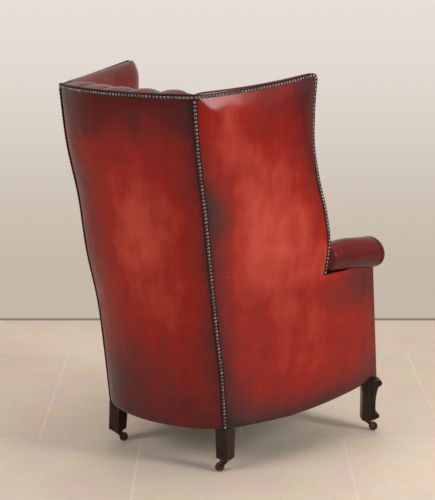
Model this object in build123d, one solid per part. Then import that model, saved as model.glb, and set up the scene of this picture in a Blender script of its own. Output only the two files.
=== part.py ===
from build123d import *
import math
import os

os.makedirs("parts", exist_ok=True)

# All sizes are in millimetres. +Z is up, the chair faces -Y, and its left arm is at +X.
# The origin is the middle of the chair's footprint on the floor.

# Overall
overall_depth = 832.0
shell_bottom_z = 127.0
back_nail_z = 1070.0
wing_tip_rise = 36.0

# Plan of the curved shell: two corners, an arc between them and an arc forward from each
corner_half_bottom = 214.5
corner_half_top = 238.5
corner_back_bottom = 14.0
corner_back_top = 176.0
back_bulge_bottom = 73.5
back_bulge_top = 62.0
arm_half_bottom = 339.5
arm_half_top = 345.0
arm_belly = 8.5
side_bulge_bottom = 34.0
side_bulge_top = 41.5
side_arc_reach = 590.0
post_bow = 9.0
post_sway = 6.0
post_bow_shares = (0, -0.93, -1.0, -0.2, -0.3, 0.73, 0)
post_sway_shares = (0, -0.25, -1.0, -0.15, -0.35, 0.1, 0)

# Layers of the upholstery, counted inwards from the outside leather
skin = 2.2
fit_gap = 0.5
frame_depth = 26.5
band_thickness = 1.4
band_width = 13.0
band_seat = 0.1
nail_seat = 0.2

# Nails
nail_radius = 4.7
nail_height = 2.3
nail_pitch = 10.4

# Wing
wing_foot_z = 521.0
wing_reach = 266.0
wing_wave = 44.0
wing_wave_shares = (0.73, 0.98, 0.53, -0.27, -0.86, -0.93, -0.75)
top_sweep_share = 0.588
edge_margin = 6.5
roll_margin = 9.5
tip_round = 16.0
wing_pad_depth = 62.0
wing_pad_foot_z = 622.0

# Front of the arms and the seat
front_plane_low_z = 150.0
front_plane_reach = 577.0
front_lean = 0.138
skirt_flat_reach = 200.0
skirt_front_z = 164.5
skirt_mid_z = 143.0
facing_thickness = 10.0
border_bow = 10.0
border_top_z = 332.0
deck_side_gap = 2.2

# Arm with its outward roll
arm_depth = 78.0
roll_front_half = 347.0
roll_front_z = 564.0
roll_front_radius = 46.5
roll_rear_half = 311.0
roll_rear_z = 573.0
roll_rear_radius = 41.0
roll_rear_reach = 316.5
roll_front_ref_z = 564.0
arm_rail_width = 46.0
arm_rail_height = 24.0

# Buttoned back
lobe_count = 5
button_rows = 6
button_row_pitch = 103.0
button_first_drop = 80.0
button_depth = 56.0
lobe_crest_depth = 96.0
lobe_end_depth = 70.0
lobe_round_share = 0.75
roll_draw_share = 0.6
back_pad_top_rise = 22.0
back_pad_roll_drop = 20.0
back_pad_roll_steps = 4
button_radius = 10.0
button_height = 6.0
button_well_gap = 1.5

# Seat
rail_top_z = 240.0
rail_inset_z = 1.5
seat_floor_z = 243.0
deck_top_z = 338.0
cushion_height = 104.0
cushion_gap = 4.0
cushion_corner = 26.0
cushion_edge_round = 12.0
cushion_crown = 20.0
cushion_crown_reach = 100.0
cushion_crown_steps = 5
piping_radius = 3.6
piping_inset_share = 0.8
groove_half_share = 1.6
groove_depth_share = 3.5
cushion_bulge = 2.0
webbing_width = 50.0
webbing_thickness = 2.0
webbing_count_across = 4
webbing_count_along = 4
spring_radius = 30.0
spring_wire = 3.4
spring_turns = 3
spring_rows = 3
hessian_thickness = 1.2
dust_cover_thickness = 1.0

# Timber sizes along the shell
post_width = 32.0
stump_width = 42.0
wing_post_width = 36.0
wing_rail_height = 30.0
top_rail_height = 46.0
mid_rail_height = 42.0
mid_rail_z = 400.0
corner_block_size = 60.0
corner_block_height = 44.0

# Legs
castor_height = 36.0
rear_leg_half = 200.0
rear_leg_back = -6.0
rear_leg_top_side = 41.0
rear_leg_foot_side = 38.0
rear_leg_splay_x = 3.5
rear_leg_splay_y = 4.0
front_leg_inset = 22.5
front_leg_setback = 47.0
front_leg_width = 38.0
leg_neck = 40.0
leg_neck_z = 85.0
leg_toe_u = 44.5
leg_toe_z = 49.0
leg_toe_radius = 8.5
leg_ear_u = 48.5
leg_ear_z = 152.0
leg_ear_radius = 10.5
leg_back_flare = 8.0

# Castors
plate_radius = 18.5
plate_thickness = 2.0
castor_gap = 0.3
horn_radius = 12.0
horn_thickness = 4.2
pivot_radius = 4.0
running_gap = 0.05
rivet_radius = 6.0
rivet_thickness = 1.2
wheel_radius = 13.0
wheel_width = 11.0
wheel_hub_radius = 5.5
wheel_web_width = 7.0
wheel_round = 2.5
castor_offset = 18.0
fork_gap = 0.6
fork_thickness = 2.2
fork_boss_radius = 4.6
axle_radius = 2.0
screw_radius = 2.1
screw_height = 0.8
screws_per_plate = 3
castor_angles = {
    "rear_right": 66.0,
    "rear_left": 218.0,
    "front_right": 218.0,
    "front_left": 300.0,
}

# Working values
overrun = 30.0
probe = 1.0
shell_levels = 25
level_overrun = 9.0
tip_z = back_nail_z + wing_tip_rise
rear_reach = corner_back_top + back_bulge_top + band_thickness + band_seat + nail_seat + nail_height
rear_line_y = overall_depth / 2 - rear_reach
frame_out = skin + fit_gap
frame_in = frame_out + frame_depth
pad_out = frame_in + fit_gap
band_out = -(band_seat + band_thickness)
wing_reach_tip = wing_reach + wing_wave * wing_wave_shares[-1]
front_leg_half = arm_half_bottom - front_leg_inset
front_leg_reach = front_plane_reach - front_leg_setback
level_low_z = shell_bottom_z - level_overrun
level_high_z = tip_z + roll_margin + level_overrun
back_top_z = back_nail_z + edge_margin
cushion_base_z = deck_top_z + fit_gap
piping_inset = piping_radius * piping_inset_share
groove_half = piping_radius * groove_half_share
groove_depth = piping_radius * groove_depth_share
leg_u_share = math.sqrt(1 / 2)


def mix(a, b, share):
    return a + (b - a) * share


def wave(values, share):
    """Smooth value through evenly spaced values, carried on straight past their ends."""
    last = len(values) - 1
    k = min(max(int(share * last), 0), last - 1)
    f = share * last - k
    here, ahead = values[k], values[k + 1]
    slope_here = (ahead - values[k - 1]) / 2 if k > 0 else ahead - here
    slope_ahead = (values[k + 2] - here) / 2 if k + 2 <= last else ahead - here
    if f < 0:
        return here + slope_here * f
    if f > 1:
        return ahead + slope_ahead * (f - 1)
    h = f * f * (3 - 2 * f)
    bend = slope_here * f * (1 - f) ** 2 - slope_ahead * f * f * (1 - f)
    return mix(here, ahead, h) + bend


def arc_circle(ax, ay, bx, by, rise):
    """Centre and radius of the arc from a to b that bulges to the left by rise."""
    chord = math.hypot(bx - ax, by - ay)
    radius = (chord * chord / 4 + rise * rise) / (2 * rise)
    nx, ny = (ay - by) / chord, (bx - ax) / chord
    shift = rise - radius
    return (ax + bx) / 2 + nx * shift, (ay + by) / 2 + ny * shift, radius


def plan_at(z):
    """The circles of the back arc and of the left side arc at a height."""
    t = (z - shell_bottom_z) / (back_nail_z - shell_bottom_z)
    corner_x = mix(corner_half_bottom, corner_half_top, t) + post_sway * wave(post_sway_shares, t)
    corner_y = mix(corner_back_bottom, corner_back_top, t) + post_bow * wave(post_bow_shares, t)
    corner_y += rear_line_y
    front_x = mix(arm_half_bottom, arm_half_top, t) + arm_belly * 4 * t * (1 - t)
    front_y = rear_line_y - side_arc_reach
    back_rise = mix(back_bulge_bottom, back_bulge_top, t)
    side_rise = mix(side_bulge_bottom, side_bulge_top, t)
    back = arc_circle(-corner_x, corner_y, corner_x, corner_y, back_rise)
    side = arc_circle(corner_x, corner_y, front_x, front_y, side_rise)
    return back, side


def corner_at(z, depth, back_depth=None):
    """Where the back and side arcs meet, both moved inwards."""
    (bx, by, br), (sx, sy, sr) = plan_at(z)
    br -= depth if back_depth is None else back_depth
    sr -= depth
    dx, dy = sx - bx, sy - by
    gap = math.hypot(dx, dy)
    along = (br * br - sr * sr + gap * gap) / (2 * gap)
    across = math.sqrt(br * br - along * along)
    ux, uy = dx / gap, dy / gap
    one = (bx + ux * along - uy * across, by + uy * along + ux * across)
    two = (bx + ux * along + uy * across, by + uy * along - ux * across)
    return max(one, two, key=lambda point: point[1])


def back_point(x, z, depth):
    (bx, by, br), _ = plan_at(z)
    return Vector(x, by + math.sqrt((br - depth) ** 2 - (x - bx) ** 2), z)


def side_point(y, z, depth):
    _, (sx, sy, sr) = plan_at(z)
    return Vector(sx + math.sqrt((sr - depth) ** 2 - (y - sy) ** 2), y, z)


def corner_point(z, depth, back_depth=None):
    x, y = corner_at(z, depth, back_depth)
    return Vector(x, y, z)


def across(point):
    """The same point on the other side of the chair."""
    return Vector(-point.X, point.Y, point.Z)


def top_line_z(y):
    """Height of the nail line along the top of the side."""
    rear = rear_line_y + corner_back_top
    s = (rear - y) / (corner_back_top + wing_reach_tip)
    s = max(s, 0)
    return back_nail_z + wing_tip_rise * (top_sweep_share * s * s + (1 - top_sweep_share) * s)


def wing_front_y(z):
    """Place of the nail line down the front of the wing."""
    t = (z - wing_foot_z) / (tip_z - wing_foot_z)
    return rear_line_y - wing_reach - wing_wave * wave(wing_wave_shares, t)


def front_plane_y(z):
    """The leaning plane of the arm fronts."""
    return rear_line_y - front_plane_reach + front_lean * (z - front_plane_low_z)


def roll_at(share):
    """Centre across, centre height and radius of the arm's roll, from rear to front."""
    return (
        mix(roll_rear_half, roll_front_half, share),
        mix(roll_rear_z, roll_front_z, share),
        mix(roll_rear_radius, roll_front_radius, share),
    )


def levels(low, high, count):
    return [mix(low, high, i / (count - 1)) for i in range(count)]


shell_heights = levels(level_low_z, level_high_z, shell_levels)


def arc3(a, b, c):
    return Edge.make_three_point_arc(a, b, c)


def line(a, b):
    return Edge.make_line(a, b)


def loft_through(wires):
    """A solid through the sections, straight from each one to the next."""
    solid = Solid.make_loft(wires, True)
    return solid if solid.volume > 0 else -solid


def heights_between(low, high):
    """The two heights, and the levels of the shell that lie between them."""
    inside = [z for z in shell_heights if low + probe < z < high - probe]
    return [low] + inside + [high]


def side_arc(y_a, y_b, z, depth):
    """Arc along the left side at a depth, between two places."""
    a, b = side_point(y_a, z, depth), side_point(y_b, z, depth)
    return arc3(a, side_point((y_a + y_b) / 2, z, depth), b)


def side_wire(z, outer, inner, front_y):
    """Plan of one layer of the left side, from the corner to front_y."""
    corner_out, corner_in = corner_point(z, outer), corner_point(z, inner)
    return Wire([
        side_arc(corner_out.Y, front_y, z, outer),
        line(side_point(front_y, z, outer), side_point(front_y, z, inner)),
        side_arc(front_y, corner_in.Y, z, inner),
        line(corner_in, corner_out),
    ])


def side_layer(outer, inner):
    """One layer of the left side, taller and longer than the chair, to be trimmed."""
    front = front_plane_y(front_plane_low_z) - overrun
    return loft_through([
        side_wire(z, outer, inner, front)
        for z in shell_heights
    ])


def back_wire(z, outer, inner):
    """Plan of one layer of the back, from corner to corner."""
    corner_out, corner_in = corner_point(z, outer), corner_point(z, inner)
    return Wire([
        arc3(across(corner_out), back_point(0, z, outer), corner_out),
        line(corner_out, corner_in),
        arc3(corner_in, back_point(0, z, inner), across(corner_in)),
        line(across(corner_in), across(corner_out)),
    ])


def back_layer(outer, inner):
    return loft_through([
        back_wire(z, outer, inner)
        for z in shell_heights
    ])


def slab(low_z, high_z):
    """Everything between two heights."""
    size = overall_depth + overrun * 4
    return Pos(0, 0, (low_z + high_z) / 2) * Box(size, size, high_z - low_z)


def side_prism(edges):
    """A closed outline in the side view, run across the chair's left half."""
    return Solid.extrude(Face(Wire(edges)), Vector(overall_depth, 0, 0))


def at(y, z):
    return Vector(0, y, z)


def polyline(points):
    return [line(a, b) for a, b in zip(points, points[1:] + points[:1])]


def curve(points):
    return Edge.make_spline(points)


def top_points(margin, rear_y):
    """Points along the top edge from the rear to where the tip's round starts."""
    tip_y = rear_line_y - wing_reach_tip + tip_round
    return [at(y, top_line_z(y) + margin) for y in levels(rear_y, tip_y, 5)]


def wing_points(margin, foot_z):
    """Points down the wing's front edge, from under the tip's round to foot_z."""
    top = tip_z - tip_round
    return [at(wing_front_y(z) - margin, z) for z in levels(top, foot_z, 7)]


def tip_arc(margin):
    """The rounded corner of the wing's tip."""
    start, end = top_points(margin, 0)[-1], wing_points(margin, wing_foot_z)[0]
    middle = (start + end) / 2
    out = at(end.Y, start.Z) - middle
    return arc3(start, middle + out * (math.sqrt(2) - 1), end)


def skirt_z(y):
    """Bottom edge of the leather, which rises towards the front legs."""
    flat_y = rear_line_y - skirt_flat_reach
    front_y = rear_line_y - front_plane_reach
    s = max((flat_y - y) / (flat_y - front_y), 0)
    bow = 4 * s * (1 - s) * (skirt_mid_z - (shell_bottom_z + skirt_front_z) / 2)
    return mix(shell_bottom_z, skirt_front_z, s) + bow


def skirt_points(front_y, rise):
    flat_y = rear_line_y - skirt_flat_reach
    return [at(y, skirt_z(y) + rise) for y in levels(front_y, flat_y, 5)]


def roll_underside(share, drop):
    """Height under the roll, used where the outside leather tucks up to it."""
    _, z, radius = roll_at(share)
    return z - radius - drop


def left_and_right(name, left):
    """A left piece and its mirror image."""
    return {f"{name}_left": left, f"{name}_right": mirror(left, about=Plane.YZ)}


def group(solids):
    return Compound(children=list(solids))


def whole(shape):
    """The one solid of a trimmed shape."""
    return max(shape.solids(), key=lambda s: s.volume)


# Outside leather

def outside_back_panel():
    """Leather over the back, between the two seams."""
    return whole(back_layer(0, skin) & slab(shell_bottom_z, back_top_z))


def outside_side_outline():
    """Side view of the leather that covers wing, arm and seat side."""
    margin = edge_margin
    rear_y = rear_line_y + corner_back_top + overrun
    step_y = wing_front_y(roll_rear_z) - margin
    front_gap = facing_thickness + fit_gap
    top, wing = top_points(margin, rear_y), wing_points(margin, roll_rear_z)
    under_rear = at(step_y, roll_underside(0, fit_gap))
    low_z, high_z = skirt_front_z, roll_underside(1, fit_gap)
    under_front = at(front_plane_y(high_z) + front_gap, high_z)
    low_front = at(front_plane_y(low_z) + front_gap, skirt_z(front_plane_y(low_z) + front_gap))
    skirt = skirt_points(low_front.Y, 0)
    foot_rear = at(rear_y, shell_bottom_z)
    return [
        curve(top),
        tip_arc(margin),
        curve(wing),
        line(wing[-1], under_rear),
        line(under_rear, under_front),
        line(under_front, skirt[0]),
        curve(skirt),
        line(skirt[-1], foot_rear),
        line(foot_rear, top[0]),
    ]


def outside_side_panel():
    return whole(side_layer(0, skin) & side_prism(outside_side_outline()))


# Leather banding under the nails

def band_limits():
    """Heights of the lower edge of the top band, and its middle."""
    return back_top_z - band_width


def seam_band():
    """Narrow strip over the left corner seam."""
    half = band_width / 2
    wires = []
    for z in heights_between(shell_bottom_z, band_limits() - fit_gap):
        points = []
        for depth in (band_out, -band_seat):
            corner = corner_point(z, depth)
            rear = back_point(corner.X - half, z, depth)
            front = side_point(corner.Y - half, z, depth)
            points.append([rear, corner, front])
        outer, inner = points
        wires.append(Wire(polyline(outer + inner[::-1])))
    return loft_through(wires)


def back_top_band():
    return whole(back_layer(band_out, -band_seat) & slab(band_limits(), back_top_z))


def side_top_band():
    """Strip along the top of the side and down the wing's front edge."""
    rear_y = rear_line_y + corner_back_top + overrun
    outer_top, outer_wing = top_points(edge_margin, rear_y), wing_points(edge_margin, wing_foot_z)
    inner = edge_margin - band_width
    inner_top, inner_wing = top_points(inner, rear_y), wing_points(inner, wing_foot_z)
    outline = [
        curve(outer_top),
        tip_arc(edge_margin),
        curve(outer_wing),
        line(outer_wing[-1], inner_wing[-1]),
        curve(inner_wing[::-1]),
        tip_arc(inner),
        curve(inner_top[::-1]),
        line(inner_top[0], outer_top[0]),
    ]
    return whole(side_layer(band_out, -band_seat) & side_prism(outline))


def leather_banding():
    seam, side = seam_band(), side_top_band()
    strips = [seam, side, mirror(seam, about=Plane.YZ), mirror(side, about=Plane.YZ)]
    return group(strips + [back_top_band()])


# Nails

def nail_dome():
    """A domed head with a flat seat."""
    ball = (nail_radius ** 2 + nail_height ** 2) / (2 * nail_height)
    top = Vector(0, 0, nail_height)
    rim = Vector(nail_radius, 0, 0)
    half_angle = math.asin(nail_radius / ball) / 2
    centre_z = nail_height - ball
    middle = Vector(ball * math.sin(half_angle), 0, centre_z + ball * math.cos(half_angle))
    outline = Wire([line(Vector(0, 0, 0), rim), arc3(rim, middle, top), line(top, Vector(0, 0, 0))])
    return Solid.revolve(Face(outline), 360, Axis.Z)


nail = nail_dome()


def spaced(point_at, start, stop):
    """Evenly spaced parameters along a curve, a nail pitch apart."""
    steps = 240
    values = [mix(start, stop, i / steps) for i in range(steps + 1)]
    points = [point_at(v) for v in values]
    lengths = [0.0]
    for a, b in zip(points, points[1:]):
        lengths.append(lengths[-1] + (b - a).length)
    count = max(round(lengths[-1] / nail_pitch), 1)
    result, k = [], 0
    for i in range(count + 1):
        target = lengths[-1] * i / count
        while k < steps - 1 and lengths[k + 1] < target:
            k += 1
        f = (target - lengths[k]) / (lengths[k + 1] - lengths[k])
        result.append(mix(values[k], values[k + 1], f))
    return result


def facing_out(point_at, u, v):
    """A point of a surface and its outward normal, from two small steps."""
    here = point_at(u, v)
    along = point_at(u + probe, v) - here
    up = point_at(u, v + probe) - here
    normal = along.cross(up).normalized()
    return here, normal


def set_nail(point, normal):
    return Plane(origin=point, z_dir=normal).location * nail


def nail_on_side(y, z):
    here, normal = facing_out(lambda u, v: side_point(u, v, band_out - nail_seat), y, z)
    if normal.X < 0:
        normal = -normal
    return set_nail(here, normal)


def nail_on_back(x, z):
    here, normal = facing_out(lambda u, v: back_point(u, v, band_out - nail_seat), x, z)
    if normal.Y < 0:
        normal = -normal
    return set_nail(here, normal)


def nails_seams():
    """Rows down both corner seams."""
    def seam(z):
        return corner_point(z, band_out - nail_seat)

    row = []
    low = shell_bottom_z + nail_radius
    high = band_limits() - nail_radius
    for z in spaced(seam, low, high):
        here = seam(z)
        up = seam(z + probe) - here
        back_normal = back_point(here.X, z, 0) - Vector(0, plan_at(z)[0][1], z)
        side_centre = Vector(plan_at(z)[1][0], plan_at(z)[1][1], z)
        side_normal = side_point(here.Y, z, 0) - side_centre
        out = back_normal.normalized() + side_normal.normalized()
        normal = (out - up * (out.dot(up) / up.dot(up))).normalized()
        row.append(set_nail(here, normal))
    return group(row + [mirror(n, about=Plane.YZ) for n in row])


def wing_nail_place(t):
    """Place on the nail line: along the top for t 0 to 1, round the tip to 2, down the front to 3."""
    tip_y, low_z = rear_line_y - wing_reach_tip + tip_round, tip_z - tip_round
    if t < 1:
        y = mix(corner_at(back_nail_z, band_out)[1] - nail_pitch / 2, tip_y, t)
        return y, top_line_z(y)
    if t < 2:
        turn = (t - 1) * math.pi / 2
        y = mix(tip_y, wing_front_y(low_z), math.sin(turn))
        return y, mix(low_z, top_line_z(tip_y), math.cos(turn))
    z = mix(low_z, wing_foot_z + nail_radius, t - 2)
    return wing_front_y(z), z


def wing_nail_row(start, stop):
    """The nails of the wing's line whose places lie from start to stop."""
    places = spaced(lambda t: side_point(*wing_nail_place(t), 0), 0, 3)
    row = [nail_on_side(*wing_nail_place(t)) for t in places if start <= t < stop]
    return row + [mirror(n, about=Plane.YZ) for n in row]


def nails_top_edge():
    """Row along the top of the back and of both sides, to the tips of the wings."""
    edge_x = corner_at(back_nail_z, band_out)[0] - nail_pitch / 2
    row = [nail_on_back(x, back_nail_z)
           for x in spaced(lambda x: back_point(x, back_nail_z, 0), -edge_x, edge_x)]
    return group(row + wing_nail_row(0, 1))


def nails_wing_edges():
    """Rows round the tips and down the front edges of both wings."""
    return group(wing_nail_row(1, 4))


# Buttoned inside back

def lobe_depths(state, crest, deep, end):
    """Depth of each node across the back: state 0 sinks the even nodes, 1 the odd ones."""
    depths = [deep if j % 2 == state else crest for j in range(2 * lobe_count + 1)]
    depths[0] = depths[-1] = end
    return depths


def lobed_wire(z, outer, depths):
    """Plan of the inside back: an arc behind, and half-lobe arcs in front."""
    (bx, by, br), _ = plan_at(z)
    last = len(depths) - 1
    corner_out = corner_point(z, outer)
    corner_in = corner_point(z, depths[-1])
    span = math.atan2(corner_in.X, corner_in.Y - by)

    def inner(position, depth):
        angle = mix(-span, span, position / last)
        r = br - depth
        return Vector(r * math.sin(angle), by + r * math.cos(angle), z)

    nodes = [inner(j, d) for j, d in enumerate(depths)]
    nodes[0], nodes[-1] = across(corner_in), corner_in
    edges = [
        arc3(across(corner_out), back_point(0, z, outer), corner_out),
        line(corner_out, corner_in),
    ]
    for j in range(last, 0, -1):
        low, high = sorted((depths[j], depths[j - 1]))
        middle = inner(j - 1 / 2, mix(low, high, lobe_round_share) + probe)
        edges.append(arc3(nodes[j], middle, nodes[j - 1]))
    edges.append(line(across(corner_in), across(corner_out)))
    return Wire(edges)


def button_heights():
    return [back_nail_z - button_first_drop - button_row_pitch * i for i in range(button_rows)]


def back_pad_split_z():
    return back_nail_z - back_pad_roll_drop


def button_frame(row, j):
    """Seat and direction of one button: row counts from the top, j across."""
    z = button_heights()[row]
    (bx, by, br), _ = plan_at(z)
    corner = corner_point(z, lobe_end_depth)
    span = math.atan2(corner.X, corner.Y - by)
    angle = mix(-span, span, j / (2 * lobe_count))
    r = br - button_depth - fit_gap
    seat = Vector(r * math.sin(angle), by + r * math.cos(angle), z)
    return Plane(origin=seat, z_dir=Vector(-math.sin(angle), -math.cos(angle), 0)).location


def button_places():
    """The nodes that hold a button, row by row in turn even and odd."""
    places = []
    for row in range(button_rows):
        first = 2 - row % 2
        places += [(row, j) for j in range(first, 2 * lobe_count, 2)]
    return places


def inside_back_pad():
    """Deep-buttoned pad, with its top rolled over the top rail."""
    split = back_pad_split_z()
    crest, deep, end = lobe_crest_depth, button_depth, lobe_end_depth
    middle = mix(deep, crest, lobe_round_share)
    plain = lobe_depths(0, middle, middle, end)
    half_row = button_row_pitch / 2
    heights = button_heights()
    wires = [lobed_wire(z, pad_out, plain)
             for z in heights_between(seat_floor_z, heights[-1] - half_row)]
    for row in reversed(range(button_rows)):
        z = heights[row]
        wires.append(lobed_wire(z, pad_out, lobe_depths(row % 2, crest, deep, end)))
        if row:
            wires.append(lobed_wire(z + half_row, pad_out, plain))
    fold = mix(deep, crest, 1 / 2)
    wires.append(lobed_wire(split, pad_out, lobe_depths(0, crest, fold, end)))
    body = loft_through(wires)
    top = back_nail_z + back_pad_top_rise
    rise, draw = top - split, (crest - pad_out) * roll_draw_share
    rolled = []
    for k in range(back_pad_roll_steps + 1):
        angle = math.pi / 2 * k / back_pad_roll_steps
        inner = draw * (1 - math.cos(angle))
        outer = frame_out + (pad_out - frame_out) * (1 - math.cos(angle)) / 2
        ridge = crest - inner
        pleat = mix(fold, crest, math.sin(angle) / 2) - inner
        side = max(end - inner, outer + probe * 4)
        z = split + rise * math.sin(angle)
        rolled.append(lobed_wire(z, outer, lobe_depths(0, ridge, pleat, side)))
    pad = body + loft_through(rolled)
    well = Cylinder(button_radius + button_well_gap, button_height * 8)
    wells = [button_frame(row, j) * Pos(0, 0, button_height * 4) * well
             for row, j in button_places()]
    return whole(pad - wells)


def back_buttons():
    """Leather-covered buttons of the inside back."""
    ball = (button_radius ** 2 + button_height ** 2) / (2 * button_height)
    dome = Pos(0, 0, button_height - ball) * Sphere(ball)
    size = ball * 4
    dome &= Pos(0, 0, size / 2) * Box(size, size, size)
    return group([whole(button_frame(row, j) * dome) for row, j in button_places()])


# Inside wing

def wing_level(rear_z, tilt, outer, inner, nose, shrink):
    """Plan of the wing pad in a plane that rises to the front by tilt."""
    def height(y):
        return rear_z + tilt * (rear_line_y + corner_back_top - y)

    def on_side(y, depth):
        return side_point(y, height(y), depth)

    def at_corner(depth):
        y = corner_at(rear_z, depth)[1] - fit_gap
        return on_side(y, depth)

    nose_y = wing_front_y(height(rear_line_y - wing_reach)) - nose + shrink
    round_y = (inner - outer) / 2
    start_y = nose_y + round_y
    lean = 1 - math.sqrt(1 / 2)
    out_mid = on_side(nose_y + round_y * lean, mix(outer, inner, lean / 2))
    in_mid = on_side(nose_y + round_y * lean, mix(inner, outer, lean / 2))
    tip = on_side(nose_y, (outer + inner) / 2)
    rear_out, rear_in = at_corner(outer), at_corner(inner)
    front_out, front_in = on_side(start_y, outer), on_side(start_y, inner)
    middle_y = (rear_out.Y + start_y) / 2
    return Wire([
        arc3(rear_out, on_side(middle_y, outer), front_out),
        arc3(front_out, out_mid, tip),
        arc3(tip, in_mid, front_in),
        arc3(front_in, on_side(middle_y, inner), rear_in),
        line(rear_in, rear_out),
    ])


def wing_pocket_outline(margin):
    """Side view of the hollow that the wing's frame stands in."""
    rear_y = rear_line_y + corner_back_top + overrun
    top, wing = top_points(margin, rear_y), wing_points(margin, roll_rear_z)
    low_front, low_rear = at(wing[-1].Y, shell_bottom_z), at(rear_y, shell_bottom_z)
    return [
        curve(top),
        tip_arc(margin),
        curve(wing),
        line(wing[-1], low_front),
        line(low_front, low_rear),
        line(low_rear, top[0]),
    ]


def wing_pad():
    """Stuffed inside of the wing, wrapped round its front and top edges."""
    top = back_nail_z + roll_margin
    full_tilt = wing_tip_rise / (corner_back_top + wing_reach_tip)
    soft = roll_margin
    rows = []
    for z in levels(wing_pad_foot_z, top - soft, shell_levels // 2):
        share = (z - wing_pad_foot_z) / (top - wing_pad_foot_z)
        rows.append(wing_level(z, full_tilt * share, frame_out, wing_pad_depth, roll_margin, 0))
    half = soft / 2
    rows.append(wing_level(top - half / 2, full_tilt, frame_out + half, wing_pad_depth - half,
                           roll_margin, half))
    rows.append(wing_level(top + half, full_tilt, frame_out + soft, wing_pad_depth - soft * 2,
                           roll_margin, soft * 2))
    pad = loft_through(rows)
    pocket = side_layer(0, pad_out) & side_prism(wing_pocket_outline(-edge_margin))
    return whole(pad - pocket)


# Arm

def arm_wire(reach, lean, share, lowest_z, hollow):
    """Section of the arm in a plane that leans back: inner face, roll and its underside."""
    half, roll_z, radius = roll_at(share)

    def place(z):
        return rear_line_y - reach + lean * (z - roll_front_ref_z)

    def on_side(z, depth):
        return side_point(place(z), z, depth)

    def free(x, z):
        return Vector(x, place(z), z)

    sweep = half - on_side(roll_z, arm_depth).X
    shoulder_z = roll_z + radius - sweep
    low_in, shoulder = on_side(lowest_z, arm_depth), on_side(shoulder_z, arm_depth)
    diag = math.sqrt(1 / 2)
    crown, outmost = free(half, roll_z + radius), free(half + radius, roll_z)
    under = free(half, roll_z - radius)
    edges = [
        line(low_in, shoulder),
        arc3(shoulder, free(half - sweep * diag, shoulder_z + sweep * diag), crown),
        arc3(crown, free(half + radius * diag, roll_z + radius * diag), outmost),
        arc3(outmost, free(half + radius * diag, roll_z - radius * diag), under),
    ]
    depth = pad_out if hollow else 0
    tuck, low_out = on_side(roll_z - radius, depth), on_side(lowest_z, depth)
    return Wire(edges + [line(under, tuck), line(tuck, low_out), line(low_out, low_in)])


def facing_reach():
    """Distance of the arm fronts from the rear legs at the roll's height."""
    return rear_line_y - front_plane_y(roll_front_ref_z)


def arm_pad():
    """Stuffed arm: the roll in front of the wing, and the inner face back to the buttoned back."""
    front_reach = facing_reach() - facing_thickness - fit_gap
    wires = []
    for share in (0, 1 / 3, 2 / 3, 1):
        reach = mix(roll_rear_reach, front_reach, share)
        wires.append(arm_wire(reach, front_lean * share, share, seat_floor_z, True))
    roll = loft_through(wires)
    join_y = rear_line_y - roll_rear_reach - fit_gap
    inner = []
    for z in heights_between(seat_floor_z, wing_pad_foot_z - fit_gap):
        out_y, in_y = corner_at(z, pad_out)[1] - fit_gap, corner_at(z, arm_depth)[1] - fit_gap
        inner.append(Wire([
            side_arc(out_y, join_y, z, pad_out),
            line(side_point(join_y, z, pad_out), side_point(join_y, z, arm_depth)),
            side_arc(join_y, in_y, z, arm_depth),
            line(side_point(in_y, z, arm_depth), side_point(out_y, z, pad_out)),
        ]))
    return whole(roll + loft_through(inner) - arm_rail_box(fit_gap))


def arm_rail_box(grow):
    """Board along the core of the roll, from the wing post to the arm front."""
    front_reach = facing_reach() - facing_thickness - fit_gap
    wires = []
    for share, end in ((0, -grow), (1, grow)):
        half, roll_z, radius = roll_at(share)
        reach = mix(roll_rear_reach, front_reach, share) + end
        y = rear_line_y - reach
        wide, tall = arm_rail_width / 2 + grow, arm_rail_height / 2 + grow
        x = side_point(y, roll_z, pad_out).X + arm_rail_width / 2 - frame_depth / 2
        corners = [(-wide, -tall), (wide, -tall), (wide, tall), (-wide, tall)]
        wires.append(Wire(polyline([
            Vector(x + dx, y + front_lean * share * (roll_z + dz - roll_front_ref_z), roll_z + dz)
            for dx, dz in corners
        ])))
    return loft_through(wires)


def arm_facing():
    """Flat scroll-topped front of the arm."""
    outline = arm_wire(facing_reach(), front_lean, 1, skirt_front_z, False)
    return Solid.extrude(Face(outline), Vector(0, facing_thickness, 0))


def nails_facings():
    """Rows round the edge of both arm fronts."""
    outline = arm_wire(facing_reach(), front_lean, 1, skirt_front_z, False)
    face = Face(outline)
    normal = face.normal_at()
    if normal.Y > 0:
        normal = -normal
    inset = face.outer_wire().offset_2d(-(nail_radius + nail_height))
    if inset.length > outline.length:
        inset = face.outer_wire().offset_2d(nail_radius + nail_height)
    count = round(inset.length / nail_pitch)
    lift = normal * nail_seat
    row = [set_nail(inset.position_at(i / count) + lift, normal) for i in range(count)]
    return group(row + [mirror(n, about=Plane.YZ) for n in row])


# Front border of the seat

def facing_inner_half(z):
    """Half width to the straight inner edge of the arm front at a height."""
    half, roll_z, radius = roll_at(1)
    sweep = half - side_point(front_plane_y(roll_z), roll_z, arm_depth).X
    shoulder_z = roll_z + radius - sweep
    low = side_point(front_plane_y(skirt_front_z), skirt_front_z, arm_depth).X
    high = side_point(front_plane_y(shoulder_z), shoulder_z, arm_depth).X
    return mix(low, high, (z - skirt_front_z) / (shoulder_z - skirt_front_z))


def border_half(z):
    """Half width of the seat front between the arm fronts at a height."""
    return facing_inner_half(z) - fit_gap


def border_wire(z):
    half, y = border_half(z), front_plane_y(z)
    back_y = y + facing_thickness
    return Wire([
        arc3(Vector(-half, y, z), Vector(0, y - border_bow, z), Vector(half, y, z)),
        line(Vector(half, y, z), Vector(half, back_y, z)),
        line(Vector(half, back_y, z), Vector(-half, back_y, z)),
        line(Vector(-half, back_y, z), Vector(-half, y, z)),
    ])


def front_border():
    """Leather-covered front of the seat."""
    return loft_through([border_wire(z) for z in heights_between(skirt_front_z, border_top_z)])


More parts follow.
